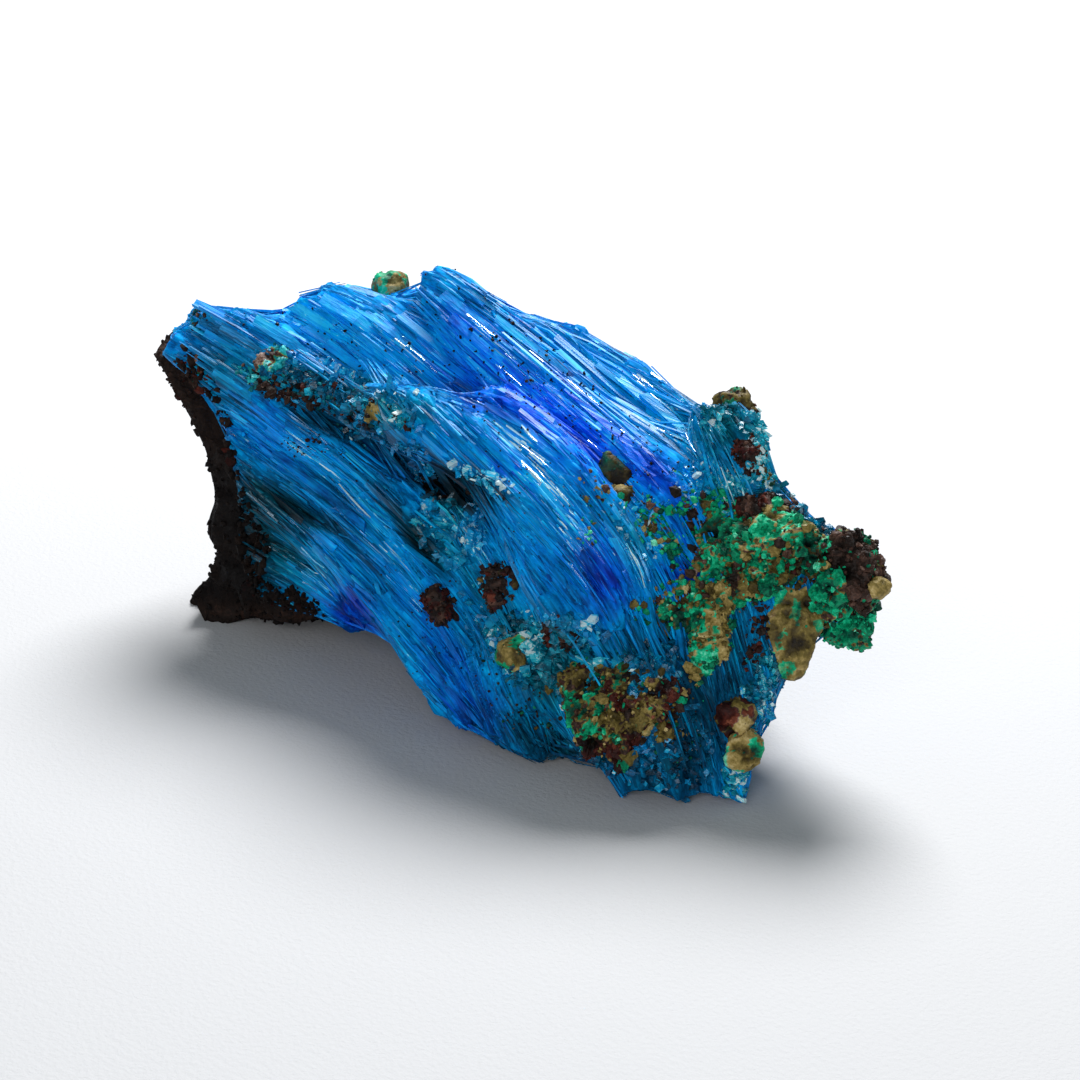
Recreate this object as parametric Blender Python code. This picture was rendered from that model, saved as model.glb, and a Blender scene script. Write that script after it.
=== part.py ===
"""A chalcanthite specimen: a fibrous blue crystal mass with wall rock at one end and a crust at the other.

The long axis is X, from the wall rock to the crust, Z is up and the specimen rests on Z = 0.
The origin is under the middle of the bounding box.

Places on the show side are given as (across, up, y) in millimetres. Across and up are measured
square to the viewing direction, from the middle of the show side, and y is the place through the
thickness, from the front (negative) to the back.
"""

import math

import bmesh
import bpy
from mathutils import Vector, noise
from mathutils.bvhtree import BVHTree

MM = 0.001

# Viewing direction of the show side
SHOW_TURN = math.radians(42)
SHOW_TILT = math.radians(22)
SHOW_DISTANCE = 210.0
SHOW_MIDDLE = Vector((2.83, 0.3, 11.0))

# Clearances and mesh sizes, in millimetres
GAP = 0.35
GROWN_GAP = 0.8
CRYSTAL_VOXEL = 0.55
CRUST_VOXEL = 0.45
FLOOR_CUT_SIZE = (100.0, 60.0, 8.0)

CRYSTAL_TRIANGLES = 2900
WALL_TRIANGLES = 700
CRUST_TRIANGLES = 340
SOCKET_TRIANGLES = 260

# Roundness of a sheaf's section: 1 is an oval, less is squarer. Its surface has seven shallow flutes.
SECTION_POWER = 0.78
FLUTES = 7
FLUTE_DEPTH = 0.04

# The last ninth of a sheaf narrows by this share
SHEAF_END = 1 / 9
SHEAF_END_TAPER = 0.22

RIGHT = Vector((math.cos(SHOW_TURN), math.sin(SHOW_TURN), 0))
TOWARD = Vector(
    (
        math.sin(SHOW_TURN) * math.cos(SHOW_TILT),
        -math.cos(SHOW_TURN) * math.cos(SHOW_TILT),
        math.sin(SHOW_TILT),
    )
)
UPWARD = TOWARD.cross(RIGHT)
EYE = SHOW_MIDDLE + TOWARD * SHOW_DISTANCE

# Sheaves of fibres: route points (across, up, y), then half widths and half depths from
# start to end, spread evenly along the route.
SHEAVES = {
    "core": (
        [(-20.5, 4.5, -2.5), (-12.5, 4.0, 0), (-4.0, 0.5, 0), (5.0, -4.5, -1), (13.0, -6.5, 1)],
        (6.2, 6.8, 7.4, 7.6, 6.0),
        (4.4, 6.4, 7.8, 8.0, 6.0),
    ),
    "upper_core": (
        [(-19.0, 11.0, -1), (-11.0, 9.5, 1), (-3.0, 6.5, 2), (5.0, 2.5, 1.5), (12.0, -1.0, 1)],
        (3.6, 5.0, 6.6, 7.0, 6.0),
        (4.4, 5.0, 5.6, 5.6, 5.0),
    ),
    "left_shoulder": (
        [(-25.2, 13.2, -4.5), (-19.5, 11.5, -3), (-13.5, 7.5, -3), (-9.0, 3.0, -4)],
        (2.4, 4.8, 4.8, 3.5),
        (3.0, 5.0, 5.0, 3.5),
    ),
    "left_knob": (
        [(-23.9, 15.1, -5), (-18.0, 13.4, -2), (-12.0, 10.0, -1)],
        (1.5, 2.7, 2.6),
        (2.0, 4.0, 4.0),
    ),
    "top_left": (
        [(-16.8, 15.6, 0), (-11.0, 12.8, 1), (-5.0, 7.5, 1), (0.5, 0.0, -2), (2.5, -5.5, -4)],
        (2.6, 3.8, 4.2, 3.6, 3.0),
        (3.0, 4.5, 5.0, 4.5, 3.5),
    ),
    "top_left_rear": (
        [(-15.0, 17.0, 4), (-9.5, 14.7, 5), (-3.0, 10.5, 5)],
        (1.4, 2.6, 3.2),
        (2.5, 3.5, 4.0),
    ),
    "crest": (
        [(-7.2, 17.4, 4), (-2.5, 13.2, 4), (2.5, 8.0, 3), (6.0, 2.0, 0), (8.0, -4.0, -3)],
        (2.1, 3.3, 4.0, 4.0, 3.4),
        (2.6, 4.0, 4.5, 4.5, 4.0),
    ),
    "flap": (
        [(1.4, 14.0, 6), (6.1, 9.3, 6), (10.4, 4.4, 5), (14.0, -1.0, 3)],
        (1.7, 3.1, 3.9, 3.8),
        (1.6, 3.5, 4.5, 4.5),
    ),
    "upper_right": (
        [(12.4, 8.6, 5), (14.0, 4.9, 4), (15.2, 0.0, 3)],
        (2.1, 2.6, 3.0),
        (2.5, 3.5, 4.0),
    ),
    "right_tip": (
        [(14.0, 0.0, 3), (18.0, -1.6, 3), (21.8, -4.0, 3)],
        (2.8, 3.0, 1.8),
        (4.4, 4.0, 2.4),
    ),
    "right_under": (
        [(17.5, -3.0, 3), (16.8, -7.2, 2), (15.2, -11.0, 0)],
        (3.2, 2.7, 1.8),
        (4.0, 3.4, 2.4),
    ),
    "ledge": (
        [(-12.8, 9.0, -5), (-9.0, 8.5, -6), (-4.5, 7.0, -6), (-1.0, 3.5, -6)],
        (1.0, 1.8, 2.2, 2.4),
        (1.5, 2.2, 2.6, 2.6),
    ),
    "front_central": (
        [(-4.0, 8.5, -3), (0.0, 3.6, -5), (3.0, -1.6, -6), (4.8, -6.5, -7)],
        (2.6, 3.6, 4.0, 3.6),
        (2.8, 3.8, 3.8, 3.4),
    ),
    "long_front": (
        [(-22.4, 7.6, -6), (-16.5, 3.2, -7), (-11.0, -2.2, -8), (-6.4, -8.4, -9), (-3.6, -12.2, -9)],
        (2.4, 2.8, 2.9, 2.7, 2.0),
        (2.4, 3.0, 3.0, 3.0, 2.0),
    ),
    "lower_fan": (
        [(-21.0, 0.8, -5), (-16.5, -0.8, -6), (-13.3, -3.4, -7), (-12.2, -5.0, -7.5)],
        (3.0, 3.0, 2.2, 1.5),
        (3.0, 3.0, 2.0, 1.4),
    ),
    "hollow_floor": (
        [(-14.0, 6.0, -4), (-8.5, 2.6, -5), (-5.0, -2.5, -6), (-2.6, -8.6, -7)],
        (2.8, 3.4, 3.4, 3.2),
        (2.6, 3.2, 3.4, 3.4),
    ),
    "crumbly_front": (
        [(-3.0, -7.0, -7), (0.0, -9.5, -8), (3.0, -11.5, -7)],
        (3.4, 4.0, 3.6),
        (3.0, 3.4, 3.2),
    ),
    "near_bottom": (
        [(3.0, -8.0, -5), (7.4, -12.0, -5.5), (10.2, -17.6, -6)],
        (4.5, 5.2, 4.2),
        (4.6, 5.0, 3.4),
    ),
    "near_right": (
        [(11.0, -3.0, 0), (14.0, -7.0, 0), (14.0, -12.0, -2), (13.2, -18.2, -5)],
        (4.4, 3.2, 2.3, 1.5),
        (5.0, 4.6, 4.0, 2.0),
    ),
    "back_top": (
        [(-13.0, 15.0, 7.5), (-5.5, 11.0, 8), (2.0, 6.5, 8), (8.5, 2.0, 7.5), (13.5, -2.0, 6)],
        (2.2, 3.4, 3.8, 3.8, 3.2),
        (2.0, 2.4, 2.6, 2.6, 2.4),
    ),
    "back_low": (
        [(-16.0, 6.5, 4), (-8.0, 4.5, 6.5), (0.0, 1.0, 7.5), (8.0, -3.5, 6.5), (13.0, -6.5, 5)],
        (4.2, 4.8, 4.8, 4.8, 4.0),
        (3.0, 3.2, 3.2, 3.2, 3.0),
    ),
    "back_foot": (
        [(6.0, -3.0, 5), (7.0, -7.0, 4), (6.5, -11.0, 2)],
        (4.4, 4.2, 3.2),
        (4.0, 3.6, 3.0),
    ),
}

# Wall rock: knots (across, up, radius) down its front edge, repeated through the thickness
WALL_FRONT_Y = -6.0
WALL_KNOTS = [
    (-26.2, 12.3, 1.1),
    (-24.8, 10.6, 1.7),
    (-23.4, 8.4, 2.0),
    (-22.0, 5.8, 2.1),
    (-20.9, 3.2, 2.1),
    (-20.9, 0.6, 2.4),
    (-20.7, -1.8, 2.5),
    (-21.2, -4.2, 2.4),
    (-23.3, -5.0, 1.6),
    (-18.8, -3.2, 2.6),
    (-17.0, -4.2, 1.7),
    (-15.8, -5.2, 1.0),
]
WALL_STEPS_BACK = ((0.0, 1.0), (2.6, 1.15), (5.2, 1.25), (7.8, 1.2), (10.4, 1.1), (12.6, 0.9))

# Crusts: grains (across, up, radius), each set on the face where it shows
CRUSTS = {
    "green_crust": [
        (11.2, 1.2, 1.2),
        (12.6, 0.0, 1.5),
        (12.4, -1.6, 1.3),
        (14.4, -0.6, 1.5),
        (16.0, 0.2, 1.6),
        (17.8, -0.6, 1.5),
        (19.4, -1.0, 1.2),
        (13.8, -3.0, 1.4),
        (15.6, -2.4, 1.2),
    ],
    "tip_crust": [
        (20.6, -3.6, 1.3),
        (22.0, -4.6, 1.4),
        (22.0, -6.0, 1.3),
        (20.6, -5.6, 1.4),
    ],
    "ridge_crust": [
        (12.6, -4.4, 1.0),
        (11.2, -3.9, 1.1),
        (10.0, -4.8, 1.2),
        (8.6, -5.4, 1.0),
        (11.9, -5.6, 1.1),
        (12.0, -7.4, 1.0),
        (11.3, -9.2, 0.9),
    ],
    "lower_crust": [
        (3.2, -10.2, 1.4),
        (5.2, -10.4, 1.5),
        (4.2, -12.2, 1.6),
        (6.6, -12.2, 1.6),
        (5.8, -13.8, 1.3),
        (8.4, -10.6, 1.2),
        (3.8, -14.0, 1.0),
    ],
}

# Where grains that stand out past the crystal's outline lie through the thickness
OUTLINE_Y = 3.0

# Single lumps: place (across, up), half sizes (right, upward, toward) and turn in degrees.
# A lump with a y of its own is set there, and the others are set on the face.
LUMPS = {
    "ochre_slab": ((17.8, -5.9), (2.0, 3.7, 1.0), -14, None),
    "end_block": ((21.7, -1.7), (1.7, 2.7, 1.7), 24, 2.6),
    "brown_cap": ((15.9, 2.1), (1.9, 0.8, 1.2), -6, None),
    "top_knob": ((13.7, 9.5), (1.3, 1.1, 1.2), 0, 5.0),
    "red_lump": ((14.6, 5.9), (0.8, 0.7, 0.7), 20, None),
    "rear_knob": ((-10.4, 17.9), (1.1, 0.9, 1.2), 0, 6.5),
    "teal_knob": ((-18.4, 12.4), (1.4, 0.9, 1.0), 18, None),
    "ochre_flake": ((-11.1, 8.7), (1.0, 0.7, 0.7), -20, None),
    "olive_flake": ((5.0, 4.9), (1.5, 1.1, 0.8), 30, None),
    "ochre_chip": ((5.0, 3.1), (1.4, 0.65, 0.7), 12, None),
    "small_olive_flake": ((9.7, 4.1), (0.85, 0.7, 0.7), 35, None),
    "oval_pebble": ((-1.5, -8.0), (1.35, 1.0, 0.9), 12, None),
    "brown_lump_front": ((-2.7, -3.1), (0.9, 1.2, 0.8), 10, None),
    "brown_lump_left": ((-7.0, -4.6), (0.6, 1.2, 0.7), 35, None),
    "brown_lump_low": ((1.6, -6.3), (0.9, 0.9, 0.8), 0, None),
    "dark_lump": ((8.6, -13.3), (0.9, 0.9, 0.8), 0, None),
    "ochre_grain": ((13.6, -12.4), (1.2, 1.3, 1.0), 5, None),
    "yellow_grain": ((14.3, -14.7), (0.95, 1.15, 1.0), -10, None),
    "tip_grain": ((23.6, -3.3), (0.75, 0.65, 0.7), 10, 2.4),
}

COLOURS = {
    "chalcanthite": (0.01, 0.18, 0.62),
    "wall_rock": (0.02, 0.014, 0.012),
    "green_crust": (0.01, 0.30, 0.15),
    "tip_crust": (0.02, 0.24, 0.12),
    "ridge_crust": (0.10, 0.27, 0.10),
    "lower_crust": (0.13, 0.12, 0.04),
    "ochre_slab": (0.22, 0.15, 0.06),
    "end_block": (0.05, 0.02, 0.015),
    "brown_cap": (0.10, 0.04, 0.02),
    "top_knob": (0.08, 0.10, 0.04),
    "red_lump": (0.10, 0.015, 0.01),
    "rear_knob": (0.10, 0.16, 0.10),
    "teal_knob": (0.03, 0.28, 0.30),
    "ochre_flake": (0.30, 0.20, 0.06),
    "olive_flake": (0.05, 0.055, 0.02),
    "ochre_chip": (0.22, 0.18, 0.05),
    "small_olive_flake": (0.10, 0.12, 0.04),
    "oval_pebble": (0.16, 0.17, 0.03),
    "brown_lump_front": (0.04, 0.025, 0.02),
    "brown_lump_left": (0.05, 0.025, 0.02),
    "brown_lump_low": (0.06, 0.02, 0.015),
    "dark_lump": (0.06, 0.04, 0.02),
    "ochre_grain": (0.26, 0.20, 0.06),
    "yellow_grain": (0.34, 0.26, 0.04),
    "tip_grain": (0.30, 0.22, 0.05),
}


def sight(across, up):
    """Direction from the eye through a place on the show side."""
    return (RIGHT * across + UPWARD * up - TOWARD * SHOW_DISTANCE).normalized()


def seen(across, up, y):
    """The point that shows at (across, up) and lies y through the thickness."""
    ray = sight(across, up)
    far = (SHOW_MIDDLE.y + y - EYE.y) / ray.y
    return EYE + ray * far


def between(values, share):
    """A value read from evenly spaced ones, at a share of 0 to 1 along them."""
    place = share * (len(values) - 1)
    low = min(int(place), len(values) - 2)
    return values[low] + (values[low + 1] - values[low]) * (place - low)


def along(points, share):
    """A point on the smooth curve through the given ones."""
    place = share * (len(points) - 1)
    low = min(int(place), len(points) - 2)
    t = place - low
    p1, p2 = points[low], points[low + 1]
    p0 = points[low - 1] if low else p1 * 2 - p2
    p3 = points[low + 2] if low + 2 < len(points) else p2 * 2 - p1
    return 0.5 * (
        p1 * 2
        + (p2 - p0) * t
        + (p0 * 2 - p1 * 5 + p2 * 4 - p3) * t**2
        + (p1 * 3 - p0 - p2 * 3 + p3) * t**3
    )


def material(name, colour, roughness):
    mat = bpy.data.materials.new(name)
    mat.use_nodes = True
    shader = mat.node_tree.nodes["Principled BSDF"]
    shader.inputs["Base Color"].default_value = (*colour, 1)
    shader.inputs["Roughness"].default_value = roughness
    shader.inputs["Metallic"].default_value = 0
    mat.diffuse_color = (*colour, 1)
    return mat


def add_object(name, bm, mat=None):
    """A new object from a bmesh in millimetres."""
    bmesh.ops.scale(bm, vec=(MM, MM, MM), verts=bm.verts)
    bmesh.ops.recalc_face_normals(bm, faces=bm.faces)
    mesh = bpy.data.meshes.new(name)
    bm.to_mesh(mesh)
    bm.free()
    obj = bpy.data.objects.new(name, mesh)
    if mat:
        mesh.materials.append(mat)
    bpy.context.scene.collection.objects.link(obj)
    return obj


def apply_modifiers(obj):
    """Replaces the object's mesh with what its modifiers make of it."""
    bpy.context.view_layer.update()
    graph = bpy.context.evaluated_depsgraph_get()
    made = bpy.data.meshes.new_from_object(obj.evaluated_get(graph))
    obj.modifiers.clear()
    obj.data = made


def remesh(obj, voxel):
    shell = obj.modifiers.new("Join", "REMESH")
    shell.mode = "VOXEL"
    shell.voxel_size = voxel * MM
    apply_modifiers(obj)


def simplify(obj, triangles):
    obj.data.calc_loop_triangles()
    fewer = obj.modifiers.new("Simplify", "DECIMATE")
    fewer.ratio = min(1.0, triangles / len(obj.data.loop_triangles))
    apply_modifiers(obj)


def difference(obj, cutter, solver="EXACT"):
    cut = obj.modifiers.new("Cut", "BOOLEAN")
    cut.operation = "DIFFERENCE"
    cut.solver = solver
    cut.object = cutter
    apply_modifiers(obj)
    bpy.data.objects.remove(cutter)


def keep_largest(obj):
    """Drops chips that a cut has left loose."""
    bm = bmesh.new()
    bm.from_mesh(obj.data)
    waiting = set(bm.verts)
    islands = []
    while waiting:
        island = {waiting.pop()}
        edge_of_island = list(island)
        while edge_of_island:
            vert = edge_of_island.pop()
            for edge in vert.link_edges:
                other = edge.other_vert(vert)
                if other not in island:
                    island.add(other)
                    edge_of_island.append(other)
        waiting -= island
        islands.append(island)
    islands.sort(key=len)
    for island in islands[:-1]:
        bmesh.ops.delete(bm, geom=list(island), context="VERTS")
    bm.to_mesh(obj.data)
    bm.free()


def floor_cutter():
    """A block that lies right under the resting plane."""
    bm = bmesh.new()
    bmesh.ops.create_cube(bm, size=1)
    bmesh.ops.scale(bm, vec=FLOOR_CUT_SIZE, verts=bm.verts)
    bmesh.ops.translate(bm, vec=(0, 0, -FLOOR_CUT_SIZE[2] / 2), verts=bm.verts)
    return add_object("floor_cutter", bm)


def socket(obj, piece):
    """Cuts room for a piece out of what it sits in, with a small gap all round.

    A grown piece folds over itself where it is swollen, so its cutter is made whole again first.
    The exact solver leaves folded faces where several sockets meet, so these cuts use the other one.
    """
    grown = piece.name not in LUMPS
    gap = GROWN_GAP if grown else GAP
    bm = bmesh.new()
    bm.from_mesh(piece.data)
    bm.normal_update()
    for vert in bm.verts:
        vert.co += vert.normal * gap * MM
    bmesh.ops.scale(bm, vec=(1 / MM,) * 3, verts=bm.verts)
    cutter = add_object("socket_cutter", bm)
    if grown:
        remesh(cutter, CRUST_VOXEL)
        simplify(cutter, SOCKET_TRIANGLES)
    difference(obj, cutter, solver="MANIFOLD")
    keep_largest(obj)


def squared(value):
    """Turns a circle's sine or cosine into that of a squarish oval."""
    return math.copysign(abs(value) ** SECTION_POWER, value)


def add_sheaf(bm, route, widths, depths, stations=15, sides=14):
    """A bundle of fibres: fluted oval sections swept along a route, with blunt ends."""
    points = [seen(*place) for place in route]
    rings = []
    for step in range(stations):
        share = step / (stations - 1)
        centre = along(points, share)
        ahead = along(points, min(1, share + 0.02)) - along(points, max(0, share - 0.02))
        ahead.normalize()
        side = ahead.cross(TOWARD).normalized()
        front = side.cross(ahead)
        end = 1 - SHEAF_END_TAPER * max(0, 1 - min(share, 1 - share) / SHEAF_END)
        width = between(widths, share) * end
        depth = between(depths, share) * end
        ring = []
        for index in range(sides):
            angle = 2 * math.pi * index / sides
            flute = 1 + FLUTE_DEPTH * math.cos(FLUTES * angle)
            sideways = side * squared(math.cos(angle)) * width
            forwards = front * squared(math.sin(angle)) * depth
            ring.append(bm.verts.new(centre + (sideways + forwards) * flute))
        rings.append(ring)
    for low, high in zip(rings, rings[1:]):
        for index in range(sides):
            following = (index + 1) % sides
            bm.faces.new((low[index], low[following], high[following], high[index]))
    bm.faces.new(list(reversed(rings[0])))
    bm.faces.new(rings[-1])


def add_grain(bm, centre, sizes, turn, seed, rough=0.22):
    """A rough lump: a ball stretched along the show directions, its surface broken by noise."""
    axes = (
        RIGHT * math.cos(turn) + UPWARD * math.sin(turn),
        UPWARD * math.cos(turn) - RIGHT * math.sin(turn),
        TOWARD,
    )
    made = bmesh.ops.create_icosphere(bm, subdivisions=2, radius=1)["verts"]
    for vert in made:
        ball = vert.co.copy()
        bump = noise.noise(ball * 1.7 + Vector((seed, seed * 2.3, seed * 3.1)))
        bump += 0.5 * noise.noise(ball * 3.9 + Vector((seed * 1.9, seed, seed * 0.7)))
        swell = 1 + rough * 2 * bump
        vert.co = centre + sum(
            (axis * part * size * swell for axis, part, size in zip(axes, ball, sizes)),
            Vector(),
        )


def make_crystal():
    """All the sheaves, grown together."""
    bm = bmesh.new()
    for route, widths, depths in SHEAVES.values():
        add_sheaf(bm, route, widths, depths)
    obj = add_object("chalcanthite", bm, material("chalcanthite", COLOURS["chalcanthite"], 0.25))
    remesh(obj, CRYSTAL_VOXEL)
    simplify(obj, CRYSTAL_TRIANGLES)
    difference(obj, floor_cutter())
    keep_largest(obj)
    return obj


def make_wall():
    bm = bmesh.new()
    for row, (back, factor) in enumerate(WALL_STEPS_BACK):
        for index, (across, up, radius) in enumerate(WALL_KNOTS):
            centre = seen(across, up, WALL_FRONT_Y) + Vector((0, back, 0))
            size = radius * factor
            add_grain(bm, centre, (size, size, size), 0, seed=row * 7.3 + index * 1.1)
    obj = add_object("wall_rock", bm, material("wall_rock", COLOURS["wall_rock"], 0.8))
    remesh(obj, CRUST_VOXEL)
    simplify(obj, WALL_TRIANGLES)
    difference(obj, floor_cutter())
    keep_largest(obj)
    return obj


class Face:
    """The crystal's surface as seen from the show side."""

    def __init__(self, obj):
        bm = bmesh.new()
        bm.from_mesh(obj.data)
        self.tree = BVHTree.FromBMesh(bm)
        bm.free()

    def at(self, across, up):
        """The point of the surface that shows there, or just past its outline, a point level with it."""
        hit = self.tree.ray_cast(EYE * MM, sight(across, up))[0]
        return hit / MM if hit else seen(across, up, OUTLINE_Y)


def make_crust(name, grains, face):
    bm = bmesh.new()
    for index, (across, up, radius) in enumerate(grains):
        centre = face.at(across, up)
        add_grain(bm, centre, (radius, radius, radius), 0, seed=index * 1.7 + len(name), rough=0.3)
    obj = add_object(name, bm, material(name, COLOURS[name], 0.7))
    remesh(obj, CRUST_VOXEL)
    simplify(obj, CRUST_TRIANGLES)
    keep_largest(obj)
    return obj


def make_lump(name, face):
    (across, up), sizes, turn, y = LUMPS[name]
    centre = face.at(across, up) if y is None else seen(across, up, y)
    bm = bmesh.new()
    seed = 3.0 * list(LUMPS).index(name)
    add_grain(bm, centre, sizes, math.radians(turn), seed, rough=0.16)
    return add_object(name, bm, material(name, COLOURS[name], 0.6))


def boxes_touch(first, second):
    """Whether the bounding boxes of two objects, with the gap added, overlap."""
    corners = [[vert.co for vert in obj.data.vertices] for obj in (first, second)]
    for axis in range(3):
        low = [min(co[axis] for co in points) for points in corners]
        high = [max(co[axis] for co in points) for points in corners]
        if low[0] > high[1] + GAP * MM or low[1] > high[0] + GAP * MM:
            return False
    return True


def main():
    for obj in list(bpy.data.objects):
        bpy.data.objects.remove(obj)
    crystal = make_crystal()
    face = Face(crystal)
    wall = make_wall()
    crusts = [make_crust(name, grains, face) for name, grains in CRUSTS.items()]
    lumps = [make_lump(name, face) for name in LUMPS]
    pieces = [crystal, wall, *crusts, *lumps]
    for index, piece in enumerate(pieces):
        for smaller in pieces[index + 1 :]:
            if boxes_touch(piece, smaller):
                socket(piece, smaller)


main()
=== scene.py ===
"""The looks of a chalcanthite specimen: fibrous blue crystal, dark wall rock, green and ochre crusts.

Lengths are in millimetres until a piece is built. Places on the show side are given as (across, up),
measured square to the viewing direction from the middle of the show side, or as (across, up, y) with
y through the thickness, as in the CAD.
"""

import math

import bmesh
import bpy
import numpy as np
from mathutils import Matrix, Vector
from mathutils.bvhtree import BVHTree


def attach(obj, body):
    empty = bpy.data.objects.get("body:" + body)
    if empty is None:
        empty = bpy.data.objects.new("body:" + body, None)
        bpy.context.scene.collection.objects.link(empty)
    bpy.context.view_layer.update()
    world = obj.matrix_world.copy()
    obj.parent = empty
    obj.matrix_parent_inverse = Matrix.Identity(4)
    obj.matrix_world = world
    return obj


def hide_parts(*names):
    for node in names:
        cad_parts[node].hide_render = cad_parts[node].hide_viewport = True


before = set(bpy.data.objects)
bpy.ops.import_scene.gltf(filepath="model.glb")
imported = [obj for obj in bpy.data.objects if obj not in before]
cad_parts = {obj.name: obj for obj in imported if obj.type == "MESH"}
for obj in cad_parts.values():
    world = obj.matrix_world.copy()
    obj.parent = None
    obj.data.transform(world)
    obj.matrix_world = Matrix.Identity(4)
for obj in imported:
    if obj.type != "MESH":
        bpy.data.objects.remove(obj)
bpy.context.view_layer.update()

MM = 0.001

# Viewing direction of the show side, the same as in the CAD
SHOW_TURN = math.radians(42)
SHOW_TILT = math.radians(22)
SHOW_DISTANCE = 210.0
SHOW_MIDDLE = np.array((2.83, 0.3, 11.0))
LENS = 100.0
SENSOR_WIDTH = 36

RIGHT = np.array((math.cos(SHOW_TURN), math.sin(SHOW_TURN), 0.0))
TOWARD = np.array(
    (
        math.sin(SHOW_TURN) * math.cos(SHOW_TILT),
        -math.cos(SHOW_TURN) * math.cos(SHOW_TILT),
        math.sin(SHOW_TILT),
    )
)
UPWARD = np.cross(TOWARD, RIGHT)
EYE = SHOW_MIDDLE + TOWARD * SHOW_DISTANCE

# The body of the crystal: the sheaves of the CAD joined, then remeshed finely
JOIN_VOXEL = 0.34
JOIN_SMOOTHING = 5
BODY_VOXEL = 0.19
BODY_SMOOTHING = 3
BODY_TRIANGLES = 160000
SECTION_POWER = 0.78
# Sizes of the lumps in the crumbly places, and how far they stand out
CRUMBS = ((1.1, 0.34), (0.5, 0.22), (0.27, 0.10))

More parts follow.
